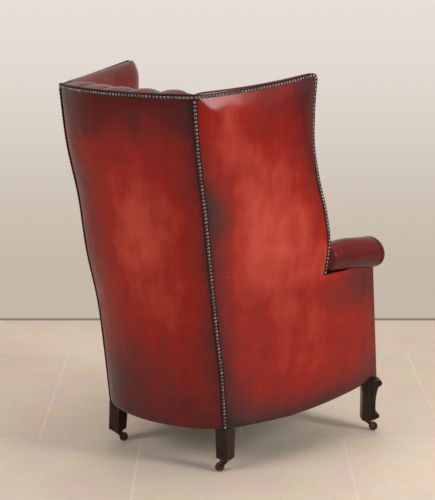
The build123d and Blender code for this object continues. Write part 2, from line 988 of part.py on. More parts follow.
def nails_front_border():
    """Row along the lower edge of the seat front."""
    z = skirt_front_z + edge_margin
    half, y = border_half(z), front_plane_y(z)
    cx, cy, radius = arc_circle(half, y, -half, y, -border_bow)

    def bow(x):
        return Vector(x, y - border_bow + radius_sag(x, half, border_bow), z)

    row = []
    for x in spaced(bow, -half + nail_pitch, half - nail_pitch):
        here = bow(x)
        along = bow(x + probe) - here
        up = Vector(0, front_lean, 1)
        normal = along.cross(up).normalized()
        if normal.Y > 0:
            normal = -normal
        row.append(set_nail(here + normal * nail_seat, normal))
    return group(row)


def radius_sag(x, half, rise):
    """How far an arc of that rise over a half chord has fallen at x."""
    radius = (half * half + rise * rise) / (2 * rise)
    return radius - math.sqrt(radius * radius - x * x)


# Seat

def seat_wire(z, side_depth, back_depth, front_y, corner=0):
    """Plan of the seat between the arms, the back and the front border."""
    rear = corner_point(z, side_depth, back_depth)
    rear = side_point(rear.Y, z, side_depth)
    front = side_point(front_y, z, side_depth)
    middle = side_point((rear.Y + front_y) / 2, z, side_depth)
    edges = [
        arc3(rear, middle, front),
        line(front, across(front)),
        arc3(across(front), across(middle), across(rear)),
        arc3(across(rear), back_point(0, z, back_depth), rear),
    ]
    wire = Wire(edges)
    if corner:
        face = Face(wire)
        wire = face.fillet_2d(corner, face.vertices()).outer_wire()
    return wire


def seat_deck():
    """Stuffed and covered platform that the cushion lies on."""
    depth = lobe_crest_depth + fit_gap * 3
    wires = []
    for z in heights_between(seat_floor_z, deck_top_z):
        front = front_plane_y(z) + facing_thickness + fit_gap
        wires.append(seat_wire(z, arm_depth + deck_side_gap, depth, front))
    return loft_through(wires)


def cushion_front_y():
    return front_plane_y(cushion_base_z) + facing_thickness / 2


def cushion_wire(z, inset):
    """Plan of the cushion at a height, drawn in by inset."""
    side = arm_depth + cushion_gap + inset
    back = lobe_crest_depth + cushion_gap + inset
    return seat_wire(z, side, back, cushion_front_y() + inset, cushion_corner)


def piping_heights():
    low = cushion_base_z + cushion_edge_round
    return low, cushion_base_z + cushion_height - cushion_crown - groove_half


def piping_ring(z):
    """Round cord along the cushion's edge."""
    path = cushion_wire(z, piping_inset)
    section = Plane(origin=path @ 0, z_dir=path % 0) * Circle(piping_radius)
    return Solid.sweep(section.face(), path)


def seat_cushion():
    """Loose cushion with a crown and softly boxed sides, grooved for its piping."""
    low, high = piping_heights()
    top = cushion_base_z + cushion_height
    steps = [(cushion_base_z, cushion_edge_round), (low - groove_half, 0), (low, groove_depth)]
    side_low, side_high = low + groove_half, high - groove_half
    for share in (0, 1 / 4, 1 / 2, 3 / 4, 1):
        bulge = cushion_bulge * 4 * share * (1 - share)
        steps.append((mix(side_low, side_high, share), -bulge))
    steps.append((high, groove_depth))
    crown_z = high + groove_half
    for k in range(cushion_crown_steps + 1):
        angle = math.pi / 2 * k / cushion_crown_steps
        inset = cushion_crown_reach * (1 - math.cos(angle))
        steps.append((crown_z + (top - crown_z) * math.sin(angle), inset))
    return loft_through([cushion_wire(z, inset) for z, inset in steps])


def cushion_piping():
    return group([piping_ring(z) for z in piping_heights()])


def webbing_z():
    return skirt_front_z + rail_inset_z + webbing_thickness


def rail_inner_half(y, z):
    """Half width between the seat's side rails."""
    return side_point(y, z, frame_in + fit_gap).X


def seat_webbing():
    """Two layers of strips between the seat rails."""
    z = webbing_z()
    front = front_plane_y(z) + facing_thickness + fit_gap * 4 + frame_depth
    rear = corner_at(z, frame_in + fit_gap)[1]
    strips = []
    step = (rear - front) / webbing_count_across
    for i in range(webbing_count_across):
        y = front + step * (i + 1 / 2)
        near = min(rail_inner_half(y - webbing_width / 2, z), rail_inner_half(y + webbing_width / 2, z))
        strip = Box(2 * near, webbing_width, webbing_thickness)
        strips.append(Pos(0, y, z + webbing_thickness / 2) * strip)
    upper = z + webbing_thickness + fit_gap / 2
    reach = rail_inner_half(rear, z)
    across_step = 2 * reach / webbing_count_along
    for i in range(webbing_count_along):
        x = -reach + across_step * (i + 1 / 2)
        near_x = abs(x) + webbing_width / 2
        end = back_point(min(near_x, corner_at(upper, pad_out)[0]), upper, pad_out).Y - webbing_thickness
        strip = Box(webbing_width, end - front, webbing_thickness)
        strips.append(Pos(x, (front + end) / 2, upper + webbing_thickness / 2) * strip)
    return group(s.solid() for s in strips)


def spring_span():
    """Lowest and highest point of the seat springs."""
    low = webbing_z() + webbing_thickness * 2 + fit_gap
    return low, rail_top_z


def seat_springs():
    """Coil springs tied down on the webbing."""
    low, high = spring_span()
    pitch = (high - low - spring_wire) / spring_turns
    start_z = low + spring_wire / 2
    quarter = 4 * spring_turns
    edges = []

    def helix(k):
        angle = math.pi / 2 * k
        return Vector(spring_radius * math.cos(angle), spring_radius * math.sin(angle),
                      start_z + pitch * k / 4)

    for k in range(quarter):
        edges.append(arc3(helix(k), helix(k + 1 / 2), helix(k + 1)))
    path = Wire(edges)
    section = Plane(origin=path @ 0, z_dir=path % 0) * Circle(spring_wire / 2)
    coil = Solid.sweep(section.face(), path)
    front = front_plane_y(low) + facing_thickness + frame_depth
    rear = corner_at(low, pad_out)[1]
    springs = []
    for i in range(spring_rows):
        y = mix(front, rear, (i + 1 / 2) / spring_rows)
        room = rail_inner_half(rear, low)
        for j in range(spring_rows):
            x = mix(-room, room, (j + 1 / 2) / spring_rows)
            springs.append(Pos(x, y, 0) * coil)
    return group(springs)


def seat_hessian():
    """Cloth over the springs, tacked on top of the rails."""
    low = rail_top_z + fit_gap
    wires = []
    for z in (low, low + hessian_thickness):
        front = front_plane_y(z) + facing_thickness + fit_gap * 2
        wires.append(seat_wire(z, pad_out + fit_gap, pad_out + fit_gap, front))
    return loft_through(wires)


def dust_cover():
    """Thin cloth under the seat, following the lower edge of the rails."""
    front_y = front_plane_y(skirt_front_z) + facing_thickness + fit_gap
    rear_y = rear_line_y + corner_back_top
    skirt = skirt_points(front_y, 0)
    low_rear = at(rear_y, shell_bottom_z)
    lift = at(0, dust_cover_thickness)
    upper = [p + lift for p in skirt]
    outline = [
        curve(skirt),
        line(skirt[-1], low_rear),
        line(low_rear, low_rear + lift),
        line(low_rear + lift, upper[-1]),
        curve(upper[::-1]),
        line(upper[0], skirt[0]),
    ]
    strip = side_prism(outline)
    sheet = strip + mirror(strip, about=Plane.YZ)
    z_low, z_high = shell_bottom_z - overrun, skirt_front_z + overrun
    plan = loft_through([
        seat_wire(z, frame_out, frame_out, front_y) for z in heights_between(z_low, z_high)
    ])
    return whole(sheet & plan)


# Timber frame

def rear_post():
    """Upright that follows the corner, from the rear leg to the top rail."""
    wires = []
    top = back_pad_split_z() - fit_gap
    for z in heights_between(shell_bottom_z + rail_inset_z, top):
        ring = []
        for depth in (frame_out + fit_gap, frame_in - fit_gap):
            corner = corner_point(z, depth)
            ring.append([
                back_point(corner.X - post_width, z, depth),
                corner,
                side_point(corner.Y - post_width, z, depth),
            ])
        outer, inner = ring
        wires.append(Wire(polyline(outer + inner[::-1])))
    return loft_through(wires)


def back_rail(low_z, high_z):
    """Curved rail between the two rear posts."""
    wires = []
    for z in heights_between(low_z, high_z):
        ends = []
        for depth in (frame_out, frame_in):
            x = corner_at(z, frame_in)[0] - post_width - fit_gap * 2
            ends.append((back_point(x, z, depth), back_point(0, z, depth)))
        (out_end, out_mid), (in_end, in_mid) = ends
        wires.append(Wire([
            arc3(across(out_end), out_mid, out_end),
            line(out_end, in_end),
            arc3(in_end, in_mid, across(in_end)),
            line(across(in_end), across(out_end)),
        ]))
    return loft_through(wires)


def post_front_y(z):
    """Front of the rear post on the side."""
    return corner_at(z, frame_in)[1] - post_width - fit_gap * 4


frame_side = side_layer(frame_out, frame_in)


def side_timber(outline):
    return whole(frame_side & side_prism(outline))


def stump_line(z, back):
    """Front or back edge of the arm stump."""
    return front_plane_y(z) + facing_thickness + fit_gap + back


def arm_stump():
    """Front upright of the arm, standing on the front leg."""
    low, high = skirt_front_z + rail_inset_z, roll_underside(1, fit_gap)
    return side_timber(polyline([
        at(stump_line(low, 0), low),
        at(stump_line(low, stump_width), low),
        at(stump_line(high, stump_width), high),
        at(stump_line(high, 0), high),
    ]))


def seat_side_rail():
    """Rail from the arm stump to the rear post, with its lower edge rising to the front."""
    low_front = stump_line(skirt_front_z, stump_width + fit_gap)
    top_front = stump_line(rail_top_z, stump_width + fit_gap)
    low_rear = post_front_y(shell_bottom_z)
    top_rear = post_front_y(rail_top_z)
    skirt = skirt_points(low_front, rail_inset_z)
    foot_rear = at(low_rear, shell_bottom_z + rail_inset_z)
    top = [at(top_rear, rail_top_z), at(top_front, rail_top_z)]
    return side_timber([
        curve(skirt),
        line(skirt[-1], foot_rear),
        line(foot_rear, top[0]),
        line(top[0], top[1]),
        line(top[1], skirt[0]),
    ])


def wing_post():
    """Front upright of the wing, curved like its edge, standing on the seat rail."""
    margin = -edge_margin - fit_gap
    foot = rail_top_z + fit_gap
    front = wing_points(margin, roll_rear_z)
    back = [p + at(wing_post_width, 0) for p in front]
    low_front, low_back = at(front[-1].Y, foot), at(back[-1].Y, foot)
    return side_timber([
        curve(front),
        line(front[-1], low_front),
        line(low_front, low_back),
        line(low_back, back[-1]),
        curve(back[::-1]),
        line(back[0], front[0]),
    ])


def wing_rail():
    """Top rail of the wing, from the rear post to the wing post."""
    margin = -edge_margin - fit_gap
    top_z = tip_z - tip_round
    rear = post_front_y(back_nail_z + margin - wing_rail_height)
    nearest = max(wing_front_y(z) for z in levels(top_z - wing_rail_height * 2, top_z, 5))
    front = nearest - margin + wing_post_width + fit_gap
    upper = [at(y, top_line_z(y) + margin) for y in levels(rear, front, 5)]
    lower = [p - at(0, wing_rail_height) for p in upper]
    return side_timber([
        curve(upper),
        line(upper[-1], lower[-1]),
        curve(lower[::-1]),
        line(lower[0], upper[0]),
    ])


def seat_front_rail():
    """Front rail between the two stumps."""
    low, high = skirt_front_z + rail_inset_z, rail_top_z
    wires = []
    for z in (low, high):
        front = stump_line(z, 0) + fit_gap
        rear = front + frame_depth
        half = side_point(rear, z, frame_in).X - fit_gap * 2
        wires.append(Wire(polyline([
            Vector(-half, front, z), Vector(half, front, z),
            Vector(half, rear, z), Vector(-half, rear, z),
        ])))
    return loft_through(wires)


def corner_blocks():
    """Glued blocks in the four corners of the seat frame."""
    high = rail_top_z - rail_inset_z
    low = high - corner_block_height
    front_wires, rear_wires = [], []
    for z in (low, high):
        y = stump_line(high, 0) + frame_depth + fit_gap * 3
        y_far = y + corner_block_size
        x_near = side_point(y, low, frame_in).X - fit_gap * 2
        x_far = side_point(y_far, low, frame_in).X - fit_gap * 2
        front_wires.append(Wire(polyline([
            Vector(x_near, y, z), Vector(x_far, y_far, z), Vector(x_near - corner_block_size, y, z),
        ])))
        corner = corner_point(z, frame_in + fit_gap)
        on_back = back_point(corner.X - corner_block_size, z, frame_in + fit_gap)
        on_side = side_point(corner.Y - corner_block_size, z, frame_in + fit_gap)
        rear_wires.append(Wire(polyline([corner, on_side, on_back])))
    blocks = [loft_through(front_wires), loft_through(rear_wires)]
    return group(blocks + [mirror(b, about=Plane.YZ) for b in blocks])


# Legs

def rear_leg():
    """Square rear leg, splayed a little to its foot."""
    top_z = shell_bottom_z - castor_gap
    wires = []
    for z, side, share in ((castor_height, rear_leg_foot_side, 1), (top_z, rear_leg_top_side, 0)):
        x = rear_leg_half + rear_leg_splay_x * share
        y = rear_line_y + rear_leg_back + rear_leg_splay_y * share
        half = side / 2
        wires.append(Wire(polyline([
            Vector(x - half, y - half, z), Vector(x + half, y - half, z),
            Vector(x + half, y + half, z), Vector(x - half, y + half, z),
        ])))
    return loft_through(wires)


def rear_leg_foot():
    x = rear_leg_half + rear_leg_splay_x
    return x, rear_line_y + rear_leg_back + rear_leg_splay_y


def front_leg():
    """Short leg that looks outwards on the diagonal, with an ear at the knee and a scroll toe."""
    top_z = skirt_front_z + castor_gap
    out = Vector(leg_u_share, -leg_u_share, 0)
    base = Vector(front_leg_half, rear_line_y - front_leg_reach, 0)

    def place(u, z):
        return base + out * u + Vector(0, 0, z)

    sole_back, sole_front = place(0, castor_height), place(leg_toe_u - leg_toe_radius, castor_height)
    toe_low = place(leg_toe_u, leg_toe_z - leg_toe_radius)
    toe_out = place(leg_toe_u + leg_toe_radius, leg_toe_z)
    toe_high = place(leg_toe_u - leg_toe_radius / 2, leg_toe_z + leg_toe_radius * leg_u_share)
    neck = place(leg_neck, leg_neck_z)
    ear_low = place(leg_ear_u, leg_ear_z - leg_ear_radius)
    ear_out = place(leg_ear_u + leg_ear_radius, leg_ear_z)
    ear_high = place(leg_ear_u, leg_ear_z + leg_ear_radius)
    knee_front = place(leg_ear_u - leg_ear_radius, top_z)
    knee_back = place(-leg_back_flare, top_z)
    calf = place(0, mix(leg_neck_z, leg_ear_z, 1 / 2))
    calf_mid = place(-leg_back_flare / 4, mix(leg_neck_z, leg_ear_z, 4 / 5))
    outline = Face(Wire([
        line(sole_back, sole_front),
        line(sole_front, toe_low),
        arc3(toe_low, toe_out, toe_high),
        line(toe_high, neck),
        arc3(neck, place(mix(leg_neck, leg_ear_u, 1 / 3), mix(leg_neck_z, leg_ear_z, 1 / 2)), ear_low),
        arc3(ear_low, ear_out, ear_high),
        line(ear_high, knee_front),
        line(knee_front, knee_back),
        arc3(knee_back, calf_mid, calf),
        line(calf, sole_back),
    ]))
    side = Vector(leg_u_share, leg_u_share, 0)
    half = side * (front_leg_width / 2)
    leg = Solid.extrude(outline.moved(Location(-half)), side * front_leg_width)
    skirt = skirt_points(front_plane_y(front_plane_low_z) - overrun, -castor_gap)
    lift = at(0, overrun * 2)
    above = side_prism([
        curve(skirt),
        line(skirt[-1], skirt[-1] + lift),
        line(skirt[-1] + lift, skirt[0] + lift),
        line(skirt[0] + lift, skirt[0]),
    ])
    return whole(leg - above)


def front_leg_foot():
    middle = leg_neck / 2 * leg_u_share
    return front_leg_half + middle, rear_line_y - front_leg_reach - middle


# Castors, drawn with the spindle on the Z axis and the wheel towards +X

def castor_plate():
    """Round plate with the pivot pin riveted under the horn."""
    top = castor_height - castor_gap
    low = top - plate_thickness
    pin_low = low - castor_gap * 2 - horn_thickness
    plate = Pos(0, 0, (top + low) / 2) * Cylinder(plate_radius, plate_thickness)
    pin = Pos(0, 0, (low + pin_low) / 2) * Cylinder(pivot_radius, low - pin_low + castor_gap)
    rivet = Pos(0, 0, pin_low - rivet_thickness / 2) * Cylinder(rivet_radius, rivet_thickness)
    return whole(plate + pin + rivet)


def horn_limits():
    """Top and bottom of the horn's disc."""
    top = castor_height - castor_gap - plate_thickness - castor_gap
    return top, top - horn_thickness


def castor_horn():
    """Turning disc with a fork and the wheel's axle."""
    top, low = horn_limits()
    disc = Pos(0, 0, (top + low) / 2) * Cylinder(horn_radius, horn_thickness)
    inner = wheel_width / 2 + fork_gap
    reach = horn_radius * leg_u_share
    points = [
        Vector(-reach, inner, top),
        Vector(reach, inner, top),
        Vector(castor_offset + fork_boss_radius, inner, wheel_radius),
        Vector(castor_offset, inner, wheel_radius - fork_boss_radius),
        Vector(castor_offset - fork_boss_radius, inner, wheel_radius),
        Vector(-reach, inner, low),
    ]
    boss_mid = fork_boss_radius * leg_u_share
    outline = Wire([
        line(points[0], points[1]),
        line(points[1], points[2]),
        arc3(points[2], Vector(castor_offset + boss_mid, inner, wheel_radius - boss_mid), points[3]),
        arc3(points[3], Vector(castor_offset - boss_mid, inner, wheel_radius - boss_mid), points[4]),
        line(points[4], points[5]),
        line(points[5], points[0]),
    ])
    arm = Solid.extrude(Face(outline), Vector(0, fork_thickness, 0))
    span = wheel_width + 2 * (fork_gap + fork_thickness)
    axle = Pos(castor_offset, 0, wheel_radius) * Rot(90, 0, 0) * Cylinder(axle_radius, span)
    horn = disc + arm + mirror(arm, about=Plane.XZ)
    bore = Cylinder(pivot_radius + running_gap, castor_height * 2)
    room = wheel_width / 2 + fork_gap
    clear = Pos(castor_offset, 0, wheel_radius) * Rot(90, 0, 0)
    horn -= bore
    horn -= clear * Cylinder(wheel_radius + castor_gap * 2, room * 2)
    below = Pos(0, 0, low - rivet_thickness) * Cylinder(rivet_radius + castor_gap, rivet_thickness * 2)
    horn -= below
    return whole(horn + axle)


def castor_wheel():
    """Brass wheel with a round tread and a dished web."""
    half, web, hub = wheel_width / 2, wheel_web_width / 2, wheel_hub_radius
    inner = axle_radius + running_gap
    rim = wheel_radius - wheel_round
    lip = rim - wheel_round
    diag = wheel_round * (1 - leg_u_share)

    def place(r, y):
        return Vector(r, y, 0)

    outline = Wire([
        line(place(inner, -half), place(hub, -half)),
        line(place(hub, -half), place(hub, -web)),
        line(place(hub, -web), place(lip, -web)),
        line(place(lip, -web), place(lip, -half)),
        line(place(lip, -half), place(rim, -half)),
        arc3(place(rim, -half), place(wheel_radius - diag, -half + diag),
             place(wheel_radius, -half + wheel_round)),
        line(place(wheel_radius, -half + wheel_round), place(wheel_radius, half - wheel_round)),
        arc3(place(wheel_radius, half - wheel_round), place(wheel_radius - diag, half - diag),
             place(rim, half)),
        line(place(rim, half), place(lip, half)),
        line(place(lip, half), place(lip, web)),
        line(place(lip, web), place(hub, web)),
        line(place(hub, web), place(hub, half)),
        line(place(hub, half), place(inner, half)),
        line(place(inner, half), place(inner, -half)),
    ])
    wheel = Solid.revolve(Face(outline), 360, Axis.Y)
    return Pos(castor_offset, 0, wheel_radius) * wheel


def castor_screws():
    """Screw heads of one plate."""
    low = castor_height - castor_gap - plate_thickness
    radius = (plate_radius + horn_radius) / 2
    heads = []
    for k in range(screws_per_plate):
        angle = 2 * math.pi * (k + 1 / 2) / screws_per_plate
        place = Pos(radius * math.cos(angle), radius * math.sin(angle), low - screw_height / 2)
        heads.append(place * Cylinder(screw_radius, screw_height))
    return heads


def castor_places():
    """Foot of each leg and the way its wheel trails."""
    rear, front = rear_leg_foot(), front_leg_foot()
    places = {}
    for corner, angle in castor_angles.items():
        x, y = rear if corner.startswith("rear") else front
        if corner.endswith("right"):
            x = -x
        places[corner] = (x, y, angle)
    return places


def build_all():
    nodes = {
        "outside_back_panel": outside_back_panel(),
        "leather_banding": leather_banding(),
        "nails_seams": nails_seams(),
        "nails_top_edge": nails_top_edge(),
        "nails_wing_edges": nails_wing_edges(),
        "nails_facings": nails_facings(),
        "nails_front_border": nails_front_border(),
        "inside_back_pad": inside_back_pad(),
        "back_buttons": back_buttons(),
        "front_border": front_border(),
        "seat_deck": seat_deck(),
        "seat_cushion": seat_cushion(),
        "cushion_piping": cushion_piping(),
        "seat_webbing": seat_webbing(),
        "seat_springs": seat_springs(),
        "seat_hessian": seat_hessian(),
        "dust_cover": dust_cover(),
        "back_top_rail": back_rail(back_pad_split_z() - fit_gap - top_rail_height,
                                   back_pad_split_z() - fit_gap),
        "back_middle_rail": back_rail(mid_rail_z, mid_rail_z + mid_rail_height),
        "seat_back_rail": back_rail(shell_bottom_z + rail_inset_z, rail_top_z),
        "seat_front_rail": seat_front_rail(),
        "corner_blocks": corner_blocks(),
    }
    pairs = {
        "outside_side_panel": outside_side_panel(),
        "wing_pad": wing_pad(),
        "arm_pad": arm_pad(),
        "arm_facing": arm_facing(),
        "rear_post": rear_post(),
        "wing_post": wing_post(),
        "wing_rail": wing_rail(),
        "arm_rail": arm_rail_box(0),
        "arm_stump": arm_stump(),
        "seat_side_rail": seat_side_rail(),
        "rear_leg": rear_leg(),
        "front_leg": front_leg(),
    }
    for name, left in pairs.items():
        nodes.update(left_and_right(name, left))
    screws = []
    for corner, (x, y, angle) in castor_places().items():
        place = Pos(x, y, 0)
        turned = place * Rot(0, 0, angle)
        nodes[f"castor_plate_{corner}"] = place * castor_plate()
        nodes[f"castor_horn_{corner}"] = turned * castor_horn()
        nodes[f"castor_wheel_{corner}"] = turned * castor_wheel()
        screws += [(place * head).solid() for head in castor_screws()]
    nodes["castor_screws"] = group(screws)
    return nodes


for node_name, shape in build_all().items():
    export_step(shape, f"parts/{node_name}.step")
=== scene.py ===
import functools
import math

import bpy
from bpy.props import FloatProperty, FloatVectorProperty, PointerProperty
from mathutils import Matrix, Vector, noise


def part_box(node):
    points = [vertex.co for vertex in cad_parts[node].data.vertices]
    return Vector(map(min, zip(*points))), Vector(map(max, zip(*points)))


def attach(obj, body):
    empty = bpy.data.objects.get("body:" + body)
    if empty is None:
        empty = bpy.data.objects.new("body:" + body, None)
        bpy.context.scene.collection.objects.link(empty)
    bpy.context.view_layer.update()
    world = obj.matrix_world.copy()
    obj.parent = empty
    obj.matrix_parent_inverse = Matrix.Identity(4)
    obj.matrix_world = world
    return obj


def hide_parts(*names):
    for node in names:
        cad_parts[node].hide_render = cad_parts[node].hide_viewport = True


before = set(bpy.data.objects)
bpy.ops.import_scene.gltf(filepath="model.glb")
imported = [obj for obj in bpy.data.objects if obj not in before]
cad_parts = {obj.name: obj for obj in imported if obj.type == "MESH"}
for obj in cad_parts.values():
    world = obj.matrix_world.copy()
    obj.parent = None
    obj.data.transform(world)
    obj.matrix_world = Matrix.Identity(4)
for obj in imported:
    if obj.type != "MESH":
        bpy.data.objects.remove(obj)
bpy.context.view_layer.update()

bl_info = {
    "name": "Nailed Leather Wing Chair",
    "version": (1, 0, 0),
    "blender": (4, 5, 0),
    "location": "View3D > Sidebar > Wing Chair",
    "description": "Dresses the frame of a wingback armchair in hand-dyed leather, nails, wood and brass",
    "category": "Object",
}

SIDES = ("left", "right")


# Properties

def length(name, text, value):
    return FloatProperty(name=name, description=text, default=value, unit="LENGTH", precision=4)


def low_high(name, text, low, high):
    return FloatVectorProperty(name=name, description=text + ", at the bottom and at the top",
                               size=2, default=(low, high), unit="LENGTH", precision=4)


def colour(name, text, red, green, blue):
    return FloatVectorProperty(name=name, description=text, size=3, subtype="COLOR",
                               default=(red, green, blue), min=0, max=1)


class ShellSizes(bpy.types.PropertyGroup):
    """Sizes of the curved shell that the leather follows."""
    line_y: length("Rear leg line", "Place of the rear legs' line behind the middle", 0.174)
    bottom_z: length("Shell bottom", "Height of the leather's lower edge", 0.127)
    nail_z: length("Back nail line", "Height of the nail line along the back", 1.07)
    tip_rise: length("Wing tip rise", "How far the wing's tip stands above the back's nails", 0.036)
    corner_half: low_high("Corner half width", "Half the width between the rear seams", 0.2145, 0.2385)
    corner_back: low_high("Corner reach", "How far the seams stand behind the rear legs", 0.014, 0.176)
    back_bulge: low_high("Back bulge", "Rise of the back's arc", 0.0735, 0.062)
    arm_half: low_high("Arm half width", "Half the width at the arm fronts", 0.3395, 0.345)
    side_bulge: low_high("Side bulge", "Rise of the side's arc", 0.034, 0.0415)
    arm_belly: length("Arm belly", "Extra fullness of the side at half height", 0.0085)
    arc_reach: length("Side arc reach", "Length of the side arc forward of the rear legs", 0.59)
    post_bow: length("Post bow", "Bend of the rear posts in the side view", 0.009)
    post_sway: length("Post sway", "Bend of the rear posts in the back view", 0.006)


class WingSizes(bpy.types.PropertyGroup):
    """Sizes of the wings and their nailed edges."""
    foot_z: length("Wing foot", "Height where the wing's front edge starts", 0.521)
    reach: length("Wing reach", "Mean distance of the front edge from the rear legs", 0.266)
    wave: length("Wing wave", "Swing of the serpentine front edge", 0.044)
    margin: length("Edge margin", "Leather outside the nail line", 0.0065)
    tip_round: length("Tip round", "Radius of the nail line round the wing's tip", 0.016)
    pad_depth: length("Pad depth", "Depth of the stuffed wing from the outside leather", 0.064)
    edge_depth: length("Edge depth", "Depth at which the stuffing stands furthest out", 0.012)
    pad_foot_z: length("Pad foot", "Height where the wing's stuffing meets the arm", 0.6)


class ArmSizes(bpy.types.PropertyGroup):
    """Sizes of the arms, their rolls and fronts."""
    lean: FloatProperty(name="Front lean", description="Slope of the arm fronts", default=0.138)
    low_reach: length("Front reach", "Distance of the arm front from the rear legs at its foot", 0.577)
    low_z: length("Front foot", "Height at which the reach is taken", 0.15)
    board: length("Facing thickness", "Thickness of the arm fronts", 0.01)
    depth: length("Arm depth", "Depth of the stuffed arm from the outside leather", 0.078)
    roll_half: low_high("Roll half width", "Half the width between the rolls", 0.311, 0.347)
    roll_z: low_high("Roll height", "Height of the roll's centre", 0.573, 0.564)
    roll_radius: low_high("Roll radius", "Radius of the roll", 0.041, 0.0465)
    roll_reach: length("Roll start", "Distance of the roll's start from the rear legs", 0.3165)
    skirt_flat: length("Flat skirt", "Distance over which the lower edge is level", 0.2)
    skirt_front_z: length("Skirt front", "Height of the lower edge at the front", 0.1645)
    skirt_mid_z: length("Skirt middle", "Height of the lower edge midway to the front", 0.143)


class TuftSizes(bpy.types.PropertyGroup):
    """Sizes of the buttoned inside back."""
    crest: length("Crest depth", "Depth of the puffs from the outside leather", 0.098)
    button: length("Button depth", "Depth of the buttons from the outside leather", 0.056)
    edge: length("Edge depth", "Depth where the back meets the wings", 0.07)
    row: length("Row pitch", "Height between two rows of buttons", 0.103)
    first: length("First row drop", "Drop of the top row under the nail line", 0.08)
    top_rise: length("Top rise", "Height of the rolled top over the nail line", 0.021)


class HideColours(bpy.types.PropertyGroup):
    """Colours of the dyed leather."""
    burnt: colour("Burnished", "Darkest dye at seams and folds", 0.021, 0.0085, 0.0085)
    oxblood: colour("Oxblood", "Dark dye", 0.098, 0.006, 0.007)
    cherry: colour("Cherry", "Middle of the panels", 0.275, 0.0135, 0.0085)
    # Russet is pinker than the dye alone: partly a painted sheen where the leather is lightest.
    russet: colour("Russet", "Where the dye is rubbed thin", 0.54, 0.08, 0.052)
    scuff: colour("Scuff", "Bare spots", 0.62, 0.33, 0.2)


class MetalWoodColours(bpy.types.PropertyGroup):
    """Colours of the nails, castors, legs, frame and inner cloths."""
    nail: colour("Nail brass", "Domes of the nails", 0.205, 0.165, 0.16)
    nail_dark: colour("Nail tarnish", "Tarnish round the domes", 0.045, 0.03, 0.024)
    castor: colour("Castor brass", "Wheels and forks", 0.1, 0.066, 0.046)
    castor_dark: colour("Castor grime", "Grime on wheels and forks", 0.03, 0.018, 0.012)
    leg: colour("Leg", "Dark polish of the legs", 0.008, 0.004, 0.0035)
    leg_worn: colour("Leg wear", "Rubbed edges of the legs", 0.12, 0.05, 0.032)
    beech: colour("Beech", "Timber of the frame", 0.42, 0.25, 0.13)
    beech_dark: colour("Beech grain", "Grain of the frame", 0.26, 0.14, 0.07)
    spring: colour("Spring steel", "Coppered wire of the springs", 0.3, 0.2, 0.13)
    spring_dark: colour("Spring rust", "Rust on the springs", 0.06, 0.04, 0.03)
    jute: colour("Jute", "Threads of the webbing", 0.5, 0.38, 0.22)
    jute_dark: colour("Jute gaps", "Gaps between the webbing's threads", 0.2, 0.13, 0.07)
    hessian: colour("Hessian", "Threads of the black cloths", 0.04, 0.034, 0.028)
    hessian_dark: colour("Hessian gaps", "Gaps between the cloths' threads", 0.008, 0.007, 0.006)


class RoomLook(bpy.types.PropertyGroup):
    """Floor, wall, lamps and camera."""
    floor: colour("Floor", "Stone of the floor", 0.645, 0.555, 0.468)
    joint: colour("Floor joint", "Joints between the stones", 0.7, 0.62, 0.535)
    wall: colour("Wall", "Light that the backdrop throws back", 0.7, 0.65, 0.6)
    # The wall's glow is painted shade near the floor and painted light higher up.
    wall_low_shade: colour("Wall foot", "Backdrop near the floor", 0.56, 0.48, 0.4)
    wall_high_light: colour("Wall top", "Backdrop higher up", 0.8, 0.74, 0.68)
    wall_distance: length("Wall distance", "Distance of the backdrop behind the chair", 1.39)
    eye: FloatVectorProperty(name="Camera", description="Place of the camera", size=3, unit="LENGTH",
                             default=(-2.6627, 3.3455, 1.5))
    heading: FloatProperty(name="Heading", description="Camera azimuth", default=math.radians(218.088),
                           subtype="ANGLE")
    pitch: FloatProperty(name="Pitch", description="Downward tilt of the camera",
                         default=math.radians(12.143), subtype="ANGLE")
    lens: FloatProperty(name="Lens", description="Focal length in millimetres", default=108.0)


GROUPS = {
    "chair_shell": ShellSizes,
    "chair_wing": WingSizes,
    "chair_arm": ArmSizes,
    "chair_tuft": TuftSizes,
    "chair_hide": HideColours,
    "chair_finish": MetalWoodColours,
    "chair_room": RoomLook,
}


def shell():
    return bpy.context.scene.chair_shell


def wing():
    return bpy.context.scene.chair_wing


def arm():
    return bpy.context.scene.chair_arm


def tuft():
    return bpy.context.scene.chair_tuft


# The shell's geometry

def mix(a, b, share):
    return a + (b - a) * share


def ease(value):
    """Smooth step from 0 to 1."""
    value = min(max(value, 0.0), 1.0)
    return value * value * (3 - 2 * value)


def wave(values, share):
    """Smooth value through evenly spaced values, carried on straight past their ends."""
    last = len(values) - 1
    k = min(max(int(share * last), 0), last - 1)
    f = share * last - k
    here, ahead = values[k], values[k + 1]
    slope_here = (ahead - values[k - 1]) / 2 if k > 0 else ahead - here
    slope_ahead = (values[k + 2] - here) / 2 if k + 2 <= last else ahead - here
    if f < 0:
        return here + slope_here * f
    if f > 1:
        return ahead + slope_ahead * (f - 1)
    bend = slope_here * f * (1 - f) ** 2 - slope_ahead * f * f * (1 - f)
    return mix(here, ahead, f * f * (3 - 2 * f)) + bend


# Shapes of the rear posts and the wing's front edge, from their feet to their tops.
POST_BOW = (0, -0.93, -1.0, -0.2, -0.3, 0.73, 0)
POST_SWAY = (0, -0.25, -1.0, -0.15, -0.35, 0.1, 0)
WING_WAVE = (0.73, 0.98, 0.53, -0.27, -0.86, -0.93, -0.75)
# Share of the top line's rise that grows with the square of the distance from the corner.
TOP_SWEEP = 0.588
# Height at which the inside pads start, how far leather ends inside its banding, and leather's thickness.
PAD_FOOT_Z = 0.243
UNDER_BAND = 0.001
LEATHER = 0.002


def arc_circle(ax, ay, bx, by, rise):
    """Centre and radius of the arc from a to b that rises to the left of their line."""
    chord = math.hypot(bx - ax, by - ay)
    radius = (chord * chord / 4 + rise * rise) / (2 * rise)
    nx, ny = (ay - by) / chord, (bx - ax) / chord
    return (ax + bx) / 2 + nx * (rise - radius), (ay + by) / 2 + ny * (rise - radius), radius


